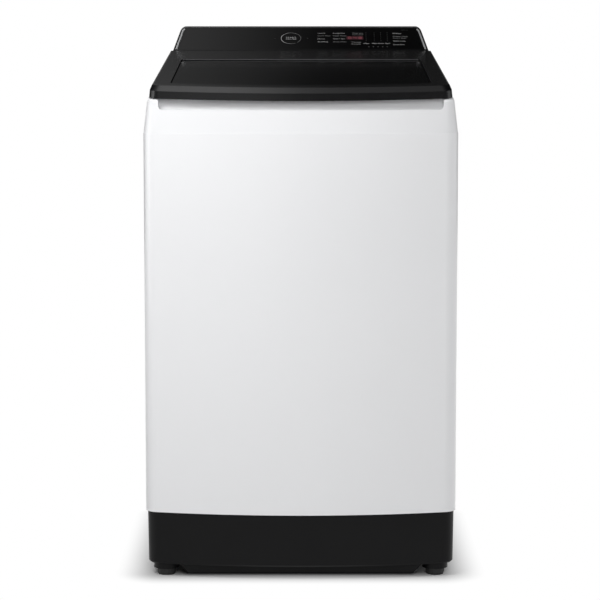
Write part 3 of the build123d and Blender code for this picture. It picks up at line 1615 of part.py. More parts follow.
outlet_plane = Plane(origin=(pump_x, panel_face_y, outlet_z), x_dir=(-1, 0, 0), z_dir=(0, 1, 0))
with BuildPart() as drain_outlet:
    with BuildSketch(outlet_plane):
        Circle(outlet_flange)
    extrude(amount=outlet_thickness)
    with BuildSketch(outlet_plane.offset(-spigot_length)):
        Circle(spigot_radius)
    extrude(amount=spigot_length + depth / 2 - panel_face_y)
    with BuildSketch(outlet_plane.offset(-spigot_length)):
        Circle(spigot_radius - spigot_wall)
    extrude(amount=spigot_length + depth / 2 - panel_face_y, mode=Mode.SUBTRACT)

hose_start = tub_y + pump_y + pump_radius + hose_gap
hose_end = panel_face_y - sheet - hose_gap
with BuildPart() as drain_hose:
    with BuildSketch(Plane(origin=(pump_x, hose_start, outlet_z), x_dir=(-1, 0, 0), z_dir=(0, 1, 0))):
        Circle(spigot_radius + hose_gap + hose_wall)
        Circle(spigot_radius + hose_gap, mode=Mode.SUBTRACT)
    extrude(amount=hose_end - hose_start)

gland_plane = Plane(origin=(gland_x, panel_face_y, gland_z), x_dir=(-1, 0, 0), z_dir=(0, 1, 0))
with BuildPart() as cord_gland:
    with BuildSketch(gland_plane):
        Circle(gland_flange)
    extrude(amount=outlet_thickness)
    chamfer(cord_gland.faces().sort_by(Axis.Y)[-1].edges(), outlet_thickness / 3)
    with BuildSketch(gland_plane.offset(-gland_radius)):
        Circle(gland_radius)
    extrude(amount=gland_radius)
    with BuildSketch(gland_plane.offset(outlet_thickness)):
        Circle(gland_radius / 2)
    extrude(amount=-2 * gland_radius, mode=Mode.SUBTRACT)

# Every piece under its own name
pieces = {
    "cabinet": cabinet.part,
    "back_panel": back_panel.part,
    "base": base.part,
    "foot_nuts": foot_nuts.part,
    "top_cover": top_cover.part,
    "hinge_pins": hinge_pins.part,
    "lid_frame": lid_frame.part,
    "lid_glass": lid_glass.part,
    "lid_inner_frame": lid_inner_frame.part,
    "lid_buffers": lid_buffers.part,
    "lid_switch": lid_switch.part,
    "lid_magnet": lid_magnet.part,
    "console_housing": console_housing.part,
    "control_panel": control_panel.part,
    "console_trim_left": console_trim_left.part,
    "console_trim_right": console_trim_right.part,
    "control_board": control_board.part,
    "inlet_valve": inlet_valve.part,
    "fill_pipe": fill_pipe.part,
    "dispenser_housing": dispenser_housing.part,
    "detergent_drawer": detergent_drawer.part,
    "softener_cap": softener_cap.part,
    "tub": tub.part,
    "tub_cover": tub_cover.part,
    "suspension_brackets": suspension_brackets.part,
    "suspension_rods": suspension_rods.part,
    "suspension_cups": suspension_cups.part,
    "drum": drum.part,
    "balance_ring": balance_ring.part,
    "basket_base": basket_base.part,
    "drive_hub": drive_hub.part,
    "spin_shaft": spin_shaft.part,
    "lint_filter_left": lint_filter_left.part,
    "lint_filter_right": lint_filter_right.part,
    "pulsator": pulsator.part,
    "pulsator_bolt": pulsator_bolt.part,
    "pulsator_cap": pulsator_cap.part,
    "wash_shaft": wash_shaft.part,
    "bearing_housing": bearing_housing.part,
    "upper_bearing": bearing_parts[0],
    "lower_bearing": bearing_parts[1],
    "shaft_seal": bearing_parts[2],
    "stator": stator.part,
    "rotor": rotor.part,
    "rotor_magnets": rotor_magnets.part,
    "rotor_nut": rotor_nut.part,
    "drain_pump": drain_pump.part,
    "drain_hose": drain_hose.part,
    "drain_outlet": drain_outlet.part,
    "cord_gland": cord_gland.part,
}
for foot_name, foot_part in zip(foot_names, foot_parts):
    pieces[foot_name] = foot_part

for piece_name, piece in pieces.items():
    piece.label = piece_name
    export_step(piece, f"parts/{piece_name}.step")
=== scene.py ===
"""Looks of the top load washing machine: finishes, panel print, fasteners, hose and studio."""

import contextlib
import json
import math

import bmesh
import bpy
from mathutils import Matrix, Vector


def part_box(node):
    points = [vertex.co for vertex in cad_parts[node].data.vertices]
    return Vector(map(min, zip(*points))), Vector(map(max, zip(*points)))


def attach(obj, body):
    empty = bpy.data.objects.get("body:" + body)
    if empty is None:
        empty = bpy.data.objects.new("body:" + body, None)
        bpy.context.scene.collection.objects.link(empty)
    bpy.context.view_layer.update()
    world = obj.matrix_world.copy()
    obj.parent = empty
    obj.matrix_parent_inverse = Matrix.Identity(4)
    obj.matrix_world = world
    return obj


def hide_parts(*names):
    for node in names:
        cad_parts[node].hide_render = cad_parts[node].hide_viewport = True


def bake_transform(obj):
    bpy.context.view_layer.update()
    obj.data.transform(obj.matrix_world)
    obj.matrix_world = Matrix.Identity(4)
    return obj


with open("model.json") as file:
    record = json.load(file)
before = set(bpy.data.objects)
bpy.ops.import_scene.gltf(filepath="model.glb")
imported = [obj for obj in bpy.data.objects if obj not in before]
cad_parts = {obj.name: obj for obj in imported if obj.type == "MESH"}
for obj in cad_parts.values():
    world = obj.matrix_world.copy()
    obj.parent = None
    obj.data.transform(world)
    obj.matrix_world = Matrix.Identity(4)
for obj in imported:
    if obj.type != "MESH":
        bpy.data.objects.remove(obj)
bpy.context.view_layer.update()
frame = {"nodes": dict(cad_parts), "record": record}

MM = 0.001

# Camera, set to the photograph's view
PICTURE_PIXELS = 600
FOCAL_PIXELS = 2186.0
SENSOR_WIDTH = 36.0
CAMERA_PLACE = (0.0, -4.5156, 1.05097)
CAMERA_PITCH = math.radians(6.1816)
CAMERA_SHIFT = (-0.00135, -0.0395)

# Axis of tub and basket
TUB_AXIS_Y = sum(corner.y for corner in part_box("drum")) / 2

# The lid slopes down to the front
LID_SLOPE = math.radians(7.2)
OFF_LID = Vector((0, -math.sin(LID_SLOPE), math.cos(LID_SLOPE)))

# Face of the control panel, and the middle of its upper edge
PANEL_TILT = math.radians(33)
PANEL_THICKNESS = 1.5 * MM
PANEL_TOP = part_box("control_panel")[1]
UP_PANEL = Vector((0, math.cos(PANEL_TILT), math.sin(PANEL_TILT)))
OFF_PANEL = Vector((0, -math.sin(PANEL_TILT), math.cos(PANEL_TILT)))
PANEL_EDGE = Vector((0, PANEL_TOP.y - PANEL_THICKNESS * math.sin(PANEL_TILT), PANEL_TOP.z))

# Panel print
PRINT_LIFT = 0.12 * MM
PRINT_DEPTH = 0.1 * MM
LETTER_SIZE = 5.2 * MM

# Places of the print, in millimetres across from the panel's middle and down from its upper edge
LEFT_COLUMN = 36.4
RIGHT_COLUMN = 69.7
ROWS = (17.8, 27.8, 39.7, 51.6)
SIDE_COLUMN = 200.0
SIDE_ROWS = (18.2, 30.4, 36.8, 48.9, 62.7)
STEP_COLUMNS = (142.0, 159.6, 173.8, 188.0)
STEP_ROW = 58.0
RING_MIDDLE = (-21.4, 37.7)
RING_RADIUS = 21.8
DISPLAY_MIDDLE = (117.6, 36.0)

# Bars of a lit digit: widths to the right of its middle, half heights up, and whether the bar lies flat
SEGMENTS = {
    "a": (0, 1, True), "b": (0.5, 0.5, False), "c": (0.5, -0.5, False), "d": (0, -1, True),
    "e": (-0.5, -0.5, False), "f": (-0.5, 0.5, False), "g": (0, 0, True),
}
DIGITS = {"0": "abcdef", "4": "bcfg", "8": "abcdefg"}

# Brightness of the tent, from the horizon behind the machine (0) over the top (0.5) to the front (1)
TENT_LEFT = (
    (0.0, 0.9), (0.03, 0.7), (0.06, 0.07), (0.1, 0.06), (0.2, 0.3), (0.33, 0.42), (0.38, 0.45),
    (0.44, 0.2), (0.46, 0.2), (0.48, 1.9), (0.6, 1.9), (0.8, 0.5), (1.0, 0.5),
)
TENT_RIGHT = (
    (0.0, 0.9), (0.03, 0.7), (0.06, 0.012), (0.1, 0.006), (0.2, 0.06), (0.33, 0.01), (0.38, 0.01),
    (0.46, 0.0), (0.48, 0.5), (0.6, 0.5), (0.8, 0.02), (1.0, 0.0),
)


class Wire:
    """An output of a shader node that can stand in Python expressions."""

    def __init__(self, tree, socket):
        self.tree = tree
        self.socket = socket

    def node(self, kind, inputs, output=0, **settings):
        """Add a shader node: its settings first, then the values or links of its sockets."""
        added = self.tree.nodes.new("ShaderNode" + kind)
        for name, value in settings.items():
            setattr(added, name, value)
        for name, value in inputs.items():
            feed(added.inputs[name], value)
        return Wire(self.tree, added.outputs[output])

    def math(self, operation, first, second=0.0):
        """Add a maths node for one or two values."""
        return self.node("Math", {0: first, 1: second}, operation=operation)

    def parts(self):
        """The x, y and z of a vector."""
        split = self.node("SeparateXYZ", {0: self})
        return [Wire(self.tree, socket) for socket in split.socket.node.outputs]

    def ramp(self, start, end, easing="SMOOTHSTEP"):
        """0 up to a start value, 1 from an end value on, and a ramp between them."""
        inputs = {"Value": self, "From Min": start, "From Max": end}
        return self.node("MapRange", inputs, interpolation_type=easing)

    def __add__(self, other):
        return self.math("ADD", self, other)

    def __radd__(self, other):
        return self.math("ADD", other, self)

    def __sub__(self, other):
        return self.math("SUBTRACT", self, other)

    def __rsub__(self, other):
        return self.math("SUBTRACT", other, self)

    def __mul__(self, other):
        return self.math("MULTIPLY", self, other)

    def __rmul__(self, other):
        return self.math("MULTIPLY", other, self)

    def __truediv__(self, other):
        return self.math("DIVIDE", self, other)

    def __mod__(self, other):
        return self.math("FLOORED_MODULO", self, other)

    def __lt__(self, other):
        return self.math("LESS_THAN", self, other)

    def __gt__(self, other):
        return self.math("GREATER_THAN", self, other)

    def __abs__(self):
        return self.math("ABSOLUTE", self)


def feed(socket, value):
    """Link a wire to a socket, or set the socket to a plain value."""
    if isinstance(value, Wire):
        value.tree.links.new(value.socket, socket)
    else:
        socket.default_value = value


def start_finish(name, colour, roughness, **constants):
    """Start a material: the inputs of its shader, and its place in the object's own coordinates."""
    material = bpy.data.materials.new(name)
    material.use_nodes = True
    tree = material.node_tree
    sockets = tree.nodes["Principled BSDF"].inputs
    feed(sockets["Base Color"], (*colour, 1))
    feed(sockets["Roughness"], roughness)
    for socket_name, value in constants.items():
        feed(sockets[socket_name.replace("_", " ")], value)
    place = Wire(tree, tree.nodes.new("ShaderNodeTexCoord").outputs["Object"])
    return material, sockets, place


def noise(place, scale, detail=2.0, stretch=(1, 1, 1)):
    """Grey noise of about one feature every 1 / scale metres."""
    vector = place
    if stretch != (1, 1, 1):
        vector = place.node("Mapping", {"Vector": place, "Scale": stretch})
    return place.node("TexNoise", {"Vector": vector, "Scale": scale, "Detail": detail}, "Fac")


def mix(factor, low, high):
    """Colour between two colours, by the numbers of the mix node's colour sockets."""
    first_input = 6
    second_input = 7
    output = 2
    inputs = {0: factor, first_input: (*low, 1), second_input: (*high, 1)}
    return factor.node("Mix", inputs, output, data_type="RGBA")


def between(factor, low, high):
    """Value between two values."""
    return low + factor * (high - low)


def shade(colour, factor):
    """A colour made lighter or darker."""
    return tuple(channel * factor for channel in colour)


def toned(factor, colour, darkest, lightest):
    """Colour that goes from a darker to a lighter shade of itself."""
    return mix(factor, shade(colour, darkest), shade(colour, lightest))


def bump(sockets, height, strength, distance):
    """Let a height roughen the surface's normal."""
    inputs = {"Strength": strength, "Distance": distance, "Height": height}
    feed(sockets["Normal"], height.node("Bump", inputs, "Normal"))


def mottled(name, colour, roughness, spread, cloud, grain, grain_depth, **constants):
    """Material with cloudy colour, uneven gloss and a fine grain. Cloud and grain are noise scales."""
    gloss_spread = 0.2
    grain_strength = 0.3
    smoothest = (1 - gloss_spread) * roughness
    roughest = (1 + gloss_spread) * roughness
    material, sockets, place = start_finish(name, colour, roughness, **constants)
    clouds = noise(place, cloud)
    feed(sockets["Base Color"], toned(clouds, colour, 1 - spread, 1 + spread))
    feed(sockets["Roughness"], between(clouds, smoothest, roughest))
    bump(sockets, noise(place, grain, detail=3.0), grain_strength, grain_depth)
    return material


def enamel():
    """Gloss white stoved paint with a faint orange peel."""
    return mottled(
        "enamel", (0.864, 0.868, 0.88), roughness=0.3, spread=0.006, cloud=5.0,
        grain=260.0, grain_depth=0.03 * MM, Coat_Weight=0.25, Coat_Roughness=0.12,
    )


def white_moulding():
    """White moulded plastic."""
    return mottled(
        "white_moulding", (0.816, 0.82, 0.832), roughness=0.34, spread=0.006, cloud=7.0,
        grain=900.0, grain_depth=0.02 * MM,
    )


def coated_sheet():
    """Light grey coated steel of the back."""
    return mottled(
        "coated_sheet", (0.62, 0.63, 0.64), roughness=0.42, spread=0.03, cloud=9.0,
        grain=700.0, grain_depth=0.03 * MM, Metallic=0.25,
    )


# Colour shared by the gloss black plastics
GLOSS_BLACK = (0.004, 0.004, 0.0043)


def mould_polish(sockets, place):
    """Give black gloss plastic its cloudy polish, and return the clouds."""
    clouds = noise(place, scale=60.0, detail=4.0)
    feed(sockets["Roughness"], between(clouds, 0.21, 0.27))
    return clouds


def piano_black():
    """Black gloss plastic, its mould polish a little cloudy."""
    material, sockets, place = start_finish("piano_black", GLOSS_BLACK, roughness=0.24)
    clouds = mould_polish(sockets, place)
    feed(sockets["Base Color"], toned(clouds, GLOSS_BLACK, 0.85, 1.2))
    return material


def black_with_painted_crest_highlight():
    """Black gloss plastic of the console, its rounded crest painted light grey as a highlight."""
    painted_highlight_grey = (0.12, 0.12, 0.122)
    crest_depth = 3.2 * MM
    full_highlight_depth = 0.4 * crest_depth
    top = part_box("console_housing")[1].z
    material, sockets, place = start_finish("black_with_painted_crest_highlight", GLOSS_BLACK, roughness=0.24)
    mould_polish(sockets, place)
    _, _, height = place.parts()
    # Painted highlight: the console's top few millimetres turn from black to grey
    painted_highlight_mask = height.ramp(top - crest_depth, top - full_highlight_depth)
    feed(sockets["Base Color"], mix(painted_highlight_mask, GLOSS_BLACK, painted_highlight_grey))
    return material


def painted_highlight_edge():
    """Black plastic edge painted grey as a highlight line."""
    # Painted highlight: the grey stands in for light caught by the rolled edge
    return mottled(
        "painted_highlight_edge", (0.045, 0.045, 0.047), roughness=0.3, spread=0.15, cloud=90.0,
        grain=1800.0, grain_depth=0.01 * MM,
    )


def touch_black():
    """Satin black film over the control panel."""
    return mottled(
        "touch_black", (0.0022, 0.0022, 0.0024), roughness=0.13, spread=0.05, cloud=20.0,
        grain=2200.0, grain_depth=0.002 * MM,
    )


def satin_black():
    """Moulded black plastic with a fine spark grain."""
    return mottled(
        "satin_black", (0.0045, 0.0045, 0.0048), roughness=0.42, spread=0.05, cloud=14.0,
        grain=1500.0, grain_depth=0.05 * MM, Specular_IOR_Level=0.14,
    )


def smoked_glass():
    """Dark tempered glass, a little see-through."""
    colour = (0.003, 0.0031, 0.0033)
    material, sockets, place = start_finish("smoked_glass", colour, roughness=0.09, Alpha=0.93)
    film = noise(place, scale=8.0, detail=3.0)
    feed(sockets["Base Color"], toned(film, colour, 0.95, 1.05))
    feed(sockets["Roughness"], between(film, 0.08, 0.11))
    return material


def bright_trim():
    """Silver lacquered strip, drawn along its length."""
    colour = (0.42, 0.425, 0.43)
    material, sockets, place = start_finish("bright_trim", colour, roughness=0.35, Metallic=0.3)
    lines = noise(place, scale=300.0, stretch=(6, 0.2, 0.2))
    feed(sockets["Base Color"], toned(lines, colour, 0.93, 1.07))
    feed(sockets["Roughness"], between(lines, 0.28, 0.4))
    return material


def solder_mask():
    """Green circuit board with traces under its lacquer."""
    colour = (0.02, 0.13, 0.05)
    material, sockets, place = start_finish("solder_mask", colour, roughness=0.35)
    inputs = {"Vector": place, "Scale": 60.0, "Mortar Size": 0.03, "Mortar Smooth": 0.2}
    traces = place.node("TexBrick", inputs, "Fac", offset=0.5)
    feed(sockets["Base Color"], toned(traces, colour, 1.0, 2.2))
    bump(sockets, traces, strength=0.3, distance=0.05 * MM)
    return material


def grey_moulding():
    """Mid grey moulded plastic of pump, valve, ring and wash plate."""
    return mottled(
        "grey_moulding", (0.42, 0.43, 0.44), roughness=0.4, spread=0.02, cloud=10.0,
        grain=1100.0, grain_depth=0.03 * MM,
    )


def tub_moulding():
    """Pale filled plastic of the tub."""
    return mottled(
        "tub_moulding", (0.6, 0.61, 0.61), roughness=0.5, spread=0.03, cloud=6.0,
        grain=800.0, grain_depth=0.05 * MM,
    )


def pale_moulding():
    """Bluish white plastic of filters and caps."""
    return mottled(
        "pale_moulding", (0.74, 0.76, 0.77), roughness=0.3, spread=0.015, cloud=12.0,
        grain=1000.0, grain_depth=0.02 * MM,
    )


def perforated_steel():
    """Stainless drum sheet with staggered drain holes, brushed round the drum."""
    colour = (0.72, 0.73, 0.74)
    hole_pitch = 12 * MM
    hole_radius = 1.7 * MM
    dimple_radius = 2.2 * hole_radius
    plain_edge = 45 * MM
    drum_low, drum_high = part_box("drum")
    drum_radius = (drum_high.x - drum_low.x) / 2
    material, sockets, place = start_finish("perforated_steel", colour, roughness=0.28, Metallic=0.3)
    x, y, z = place.parts()
    around = x.math("ARCTAN2", y - TUB_AXIS_Y, x) * drum_radius
    row = z.math("FLOOR", z / hole_pitch)
    stagger = (row % 2.0) * (hole_pitch / 2)
    across = abs((around + stagger) % hole_pitch - hole_pitch / 2)
    along = abs(z % hole_pitch - hole_pitch / 2)
    distance = x.math("SQRT", across * across + along * along)
    in_field = (z > drum_low.z + plain_edge) * (z < drum_high.z - plain_edge)
    hole = (distance < hole_radius) * in_field
    dimple = (distance < dimple_radius) * in_field
    brushed = noise(place, scale=40.0, detail=3.0, stretch=(1, 1, 18))
    feed(sockets["Base Color"], toned(brushed, colour, 0.92, 1.05))
    feed(sockets["Roughness"], between(brushed, 0.2, 0.38))
    feed(sockets["Alpha"], 1 - hole)
    bump(sockets, 1 - dimple, strength=0.6, distance=0.4 * MM)
    return material


def zinc_plate():
    """Zinc-plated steel."""
    return mottled(
        "zinc_plate", (0.56, 0.57, 0.58), roughness=0.36, spread=0.08, cloud=60.0,
        grain=500.0, grain_depth=0.03 * MM, Metallic=0.6,
    )


def cast_alloy():
    """As-cast aluminium."""
    return mottled(
        "cast_alloy", (0.58, 0.59, 0.6), roughness=0.5, spread=0.05, cloud=40.0,
        grain=420.0, grain_depth=0.15 * MM, Metallic=0.6,
    )


def lamination():
    """Stacked stator sheets with copper showing between the poles."""
    colour = (0.13, 0.13, 0.135)
    copper = (0.48, 0.2, 0.09)
    sheet_pitch = 0.7 * MM
    coil_inner = 74 * MM
    coil_outer = 110 * MM
    material, sockets, place = start_finish("lamination", colour, roughness=0.5, Metallic=0.6)
    x, y, z = place.parts()
    from_axis = y - TUB_AXIS_Y
    radius = x.math("SQRT", x * x + from_axis * from_axis)
    coil = (radius > coil_inner) * (radius < coil_outer)
    feed(sockets["Base Color"], mix(coil, colour, copper))
    bump(sockets, (z % sheet_pitch) / sheet_pitch, strength=0.4, distance=0.1 * MM)
    return material


def ferrite():
    """Sintered dark magnet."""
    return mottled(
        "ferrite", (0.05, 0.05, 0.052), roughness=0.6, spread=0.1, cloud=50.0,
        grain=900.0, grain_depth=0.06 * MM,
    )


def rubber():
    """Matt black rubber."""
    return mottled(
        "rubber", (0.018, 0.018, 0.018), roughness=0.62, spread=0.1, cloud=30.0,
        grain=1200.0, grain_depth=0.05 * MM,
    )


def ink(name, level, glow=0.0):
    """Printed or back-lit legend."""
    colour = (level, level, level)
    material, sockets, place = start_finish(name, colour, roughness=0.4)
    feed(sockets["Base Color"], toned(noise(place, scale=900.0), colour, 0.9, 1.1))
    feed(sockets["Emission Color"], (*colour, 1))
    feed(sockets["Emission Strength"], glow)
    return material


def ring_ink():
    """Print of the start ring, brighter on its left."""
    faint = (0.12, 0.12, 0.12)
    bright = (0.5, 0.5, 0.5)
    left = (RING_MIDDLE[0] - RING_RADIUS) * MM
    middle = RING_MIDDLE[0] * MM
    material, sockets, place = start_finish("ring_ink", faint, roughness=0.4)
    x, _, _ = place.parts()
    feed(sockets["Base Color"], mix(x.ramp(middle, left, "LINEAR"), faint, bright))
    return material


def red_light(name, colour, glow):
    """Lit red of the time display."""
    material, sockets, place = start_finish(name, shade(colour, 0.3), roughness=0.4)
    feed(sockets["Emission Color"], toned(noise(place, scale=600.0), colour, 0.8, 1.2))
    feed(sockets["Emission Strength"], glow)
    return material


FINISHES = {
    "white_paint": enamel(),
    "white_plastic": white_moulding(),
    "panel_steel": coated_sheet(),
    "black_gloss": piano_black(),
    "black_plastic": satin_black(),
    "dark_glass": smoked_glass(),
    "silver_trim": bright_trim(),
    "circuit_board": solder_mask(),
    "grey_plastic": grey_moulding(),
    "tub_plastic": tub_moulding(),
    "stainless": perforated_steel(),
    "steel": zinc_plate(),
    "cast_alloy": cast_alloy(),
    "lamination": lamination(),
    "ferrite": ferrite(),
    "rubber": rubber(),
    "filter_plastic": pale_moulding(),
}
BRIGHT_INK = ink("bright_ink", level=0.3, glow=0.1)
GREY_INK = ink("grey_ink", level=0.16, glow=0.05)
DIM_INK = ink("dim_ink", level=0.035)
RED_LIGHT = red_light("red_light", (0.26, 0.075, 0.09), glow=1.0)
RED_GLOW = red_light("red_glow", (0.022, 0.001, 0.004), glow=0.6)


def dress_nodes():
    """Give every CAD node the finish of its slot, and console and panel their own black, the console's with
    a painted highlight along its crest.
    """
    for row in frame["record"]["subparts"]:
        node = frame["nodes"][row["node"]]
        node.data.materials.clear()
        node.data.materials.append(FINISHES[row["material_slot"]])
    frame["nodes"]["control_panel"].data.materials[0] = touch_black()
    frame["nodes"]["console_housing"].data.materials[0] = black_with_painted_crest_highlight()


def select_only(*pieces):
    """Select some pieces and no others, with the first one active."""
    bpy.ops.object.select_all(action="DESELECT")
    for piece in pieces:
        piece.select_set(True)
    bpy.context.view_layer.objects.active = pieces[0]


def settle(piece):
    """Leave a piece at the origin, with its place in its mesh."""
    select_only(piece)
    bpy.ops.object.transform_apply(location=True, rotation=True, scale=True)
    return piece


def join(pieces):
    """Make one piece of several."""
    select_only(*pieces)
    bpy.ops.object.join()
    return bpy.context.object


def dress_piece(piece, name, material):
    """Name a finished piece and give it its finish."""
    piece.name = name
    piece.data.name = name
    piece.data.materials.clear()
    piece.data.materials.append(material)


def fit(piece, name, body, material):
    """Dress a finished piece and let it move with a body."""
    dress_piece(piece, name, material)
    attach(piece, body)


def copy_of(piece, place):
    """Copy a settled piece, with its own mesh, to a place."""
    select_only(piece)
    bpy.ops.object.duplicate(linked=False)
    copied = bpy.context.object
    copied.location = place
    return settle(copied)


@contextlib.contextmanager
def editing():
    """Work on the selected piece's mesh in edit mode."""
    bpy.ops.object.mode_set(mode="EDIT")
    yield
    bpy.ops.object.mode_set(mode="OBJECT")


def pick(kind, test):
    """In edit mode, select only the vertices, edges or faces that pass a test."""
    bpy.ops.mesh.select_mode(type=kind)
    bpy.ops.mesh.select_all(action="DESELECT")
    mesh = bpy.context.object.data
    shape = bmesh.from_edit_mesh(mesh)
    elements = {"VERT": shape.verts, "EDGE": shape.edges, "FACE": shape.faces}
    for element in elements[kind]:
        if test(element):
            element.select_set(True)
    bmesh.update_edit_mesh(mesh)


def merged_copy(node, name):
    """Copy of a CAD node's mesh with its triangles joined, as the start of a new piece."""
    same_point = 0.02 * MM
    piece = bpy.data.objects.new(name, frame["nodes"][node].data.copy())
    bpy.context.scene.collection.objects.link(piece)
    select_only(piece)
    with editing():
        bpy.ops.mesh.select_all(action="SELECT")
        bpy.ops.mesh.remove_doubles(threshold=same_point)
    return piece


def top_level(piece):
    """Height of a piece's highest point, square to the lid."""
    return max(vertex.co.dot(OFF_LID) for vertex in piece.data.vertices)


def window_pane():
    """Glass of the lid, let in a little under the frame's edge."""
    drop = 2.2 * MM
    bevelled_edge = 1.5 * MM
    pane = merged_copy("lid_glass", "window_pane")
    level = top_level(pane) - bevelled_edge
    with editing():
        pick("VERT", lambda vertex: vertex.co.dot(OFF_LID) > level)
        bpy.ops.transform.translate(value=-drop * OFF_LID)
    fit(pane, "window_pane", "lid", FINISHES["dark_glass"])
    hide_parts("lid_glass")


def window_edge():
    """Rolled edge of the frame behind the pane, painted a little grey as a highlight."""
    radius = 1.2 * MM
    reach = 4 * MM
    rear_run = 2.5 * MM
    flatness = 0.05 * MM
    facing_up = 0.999
    glass_low, glass_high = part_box("lid_glass")
    roll = merged_copy("lid_frame", "window_edge")
    level = top_level(roll)

    def in_window(point):
        return (
            level - point.dot(OFF_LID) < flatness
            and glass_low.x - reach < point.x < glass_high.x + reach
            and glass_high.y - rear_run < point.y < glass_high.y + reach
        )

    def is_rim(edge):
        flats = [face.normal.dot(OFF_LID) > facing_up for face in edge.link_faces]
        return sorted(flats) == [False, True] and all(in_window(vertex.co) for vertex in edge.verts)

    with editing():
        pick("EDGE", is_rim)
        bpy.ops.mesh.select_all(action="INVERT")
        bpy.ops.mesh.delete(type="EDGE")
    bpy.ops.object.convert(target="CURVE")
    roll.data.bevel_depth = radius
    roll.data.bevel_resolution = 3
    roll.data.use_fill_caps = True
    bpy.ops.object.convert(target="MESH")
    roll = bpy.context.object
    roll.location = -radius * OFF_LID
    settle(roll)
    bpy.ops.object.shade_smooth()
    # The rolled edge carries a painted highlight
    fit(roll, "window_edge", "lid", painted_highlight_edge())


def lay_on_panel(piece, across, down, lift=0.0):
    """Lay a flat piece just over the control panel, at millimetres across and down its face."""
    middle = PANEL_EDGE + Vector((across * MM, 0, 0)) - UP_PANEL * (down * MM)
    piece.location = middle + OFF_PANEL * (PRINT_LIFT + lift)
    piece.rotation_euler = (PANEL_TILT, 0, 0)
    return settle(piece)


def legend(words, across, down, width, size=LETTER_SIZE, align="LEFT"):
    """A line of print, fitted to its width in millimetres."""
    bpy.ops.object.text_add()
    text = bpy.context.object
    text.data.body = words
    text.data.size = size
    text.data.align_x = align
    text.data.align_y = "CENTER"
    text.data.extrude = PRINT_DEPTH / 2
    text.data.resolution_u = 3
    bpy.ops.object.convert(target="MESH")
    line = bpy.context.object
    line.scale.x = width * MM / line.dimensions.x
    return lay_on_panel(line, across, down)


def bright_legends():
    """White words: programmes, options, start and the steps under the display."""
    start_letter = 5.6 * MM
    start_across, start_down = RING_MIDDLE
    half_gap = 3.2
    step_words = ("Water", "Wash", "Rinse", "Spin")
    step_widths = (13, 12, 12, 10)
    lines = [
        legend("Normal", LEFT_COLUMN, ROWS[0], width=16),
        legend("Jeans", LEFT_COLUMN, ROWS[2], width=16),
        legend("Bedding", LEFT_COLUMN, ROWS[3], width=22),
        legend("Energy Save", RIGHT_COLUMN, ROWS[0], width=26),
        legend("Rinse + Spin", RIGHT_COLUMN, ROWS[2], width=26),
        legend("START", start_across, start_down - half_gap, width=22, size=start_letter, align="CENTER"),
        legend("PAUSE", start_across, start_down + half_gap, width=22, size=start_letter, align="CENTER"),
        legend("Delay", SIDE_COLUMN, SIDE_ROWS[0], width=19),
        legend("Child Lock", SIDE_COLUMN, SIDE_ROWS[3], width=27),
        legend("Drum Dry", SIDE_COLUMN, SIDE_ROWS[4], width=24.5),
    ]
    for words, across, width in zip(step_words, STEP_COLUMNS, step_widths):
        lines.append(legend(words, across, STEP_ROW, width, align="CENTER"))
    fit(join(lines), "panel_legends_bright", "cabinet_body", BRIGHT_INK)


def grey_legends():
    """Greyer words beside them, and those over and under the time."""
    level_column = 111.5
    level_rows = (17.6, 23.6)
    soak_column = 108.7
    soak_rows = (53.2, 60.4)
    soak_letter = 6.0 * MM
    lines = [
        legend("Quick Wash", LEFT_COLUMN, ROWS[1], width=28),
        legend("Super Rinse", RIGHT_COLUMN, ROWS[1], width=29),
        legend("Drum Clean", RIGHT_COLUMN, ROWS[3], width=29),
        legend("Water level", level_column, level_rows[0], width=23.8),
        legend("minutes", level_column, level_rows[1], width=23.8),
        legend("Temp", soak_column, soak_rows[0], width=21.5, size=soak_letter),
        legend("Soak", soak_column, soak_rows[1], width=21.5, size=soak_letter),
        legend("Preset wash", SIDE_COLUMN, SIDE_ROWS[1], width=32),
        legend("Smart dose", SIDE_COLUMN, SIDE_ROWS[2], width=29),
    ]
    fit(join(lines), "panel_legends_grey", "cabinet_body", GREY_INK)


def flat_disc(across, down, radius, sides=16):
    """A thin printed disc."""
    bpy.ops.mesh.primitive_cylinder_add(vertices=sides, radius=radius, depth=PRINT_DEPTH)
    return lay_on_panel(bpy.context.object, across, down)


def dim_marks():
    """Unlit lamps over the steps, signs in the lower row, and faint marks by the ring and at the top."""
    lamp_radius = 0.9 * MM
    lamp_rows = (16.0, 24.0, 32.0, 40.0, 47.5)
    sign_radius = 1.8 * lamp_radius
    sign_count = 5
    first_sign = 147.0
    sign_pitch = 10
    sign_row = 71.0
    minus_across = -56.6
    plus_across = 14.6
    dial_row = 38.1
    hint_place = (219.0, 4.6)
    hint_letter = 3.6 * MM
    marks = [flat_disc(across, down, lamp_radius) for across in STEP_COLUMNS for down in lamp_rows]
    for step in range(sign_count):
        marks.append(flat_disc(first_sign + sign_pitch * step, sign_row, sign_radius, sides=6))
    marks.append(legend("-", minus_across, dial_row, width=4, align="CENTER"))
    marks.append(legend("+", plus_across, dial_row, width=4, align="CENTER"))
    marks.append(legend("hold 3 s", *hint_place, width=15, size=hint_letter))
    fit(join(marks), "panel_marks_dim", "cabinet_body", DIM_INK)


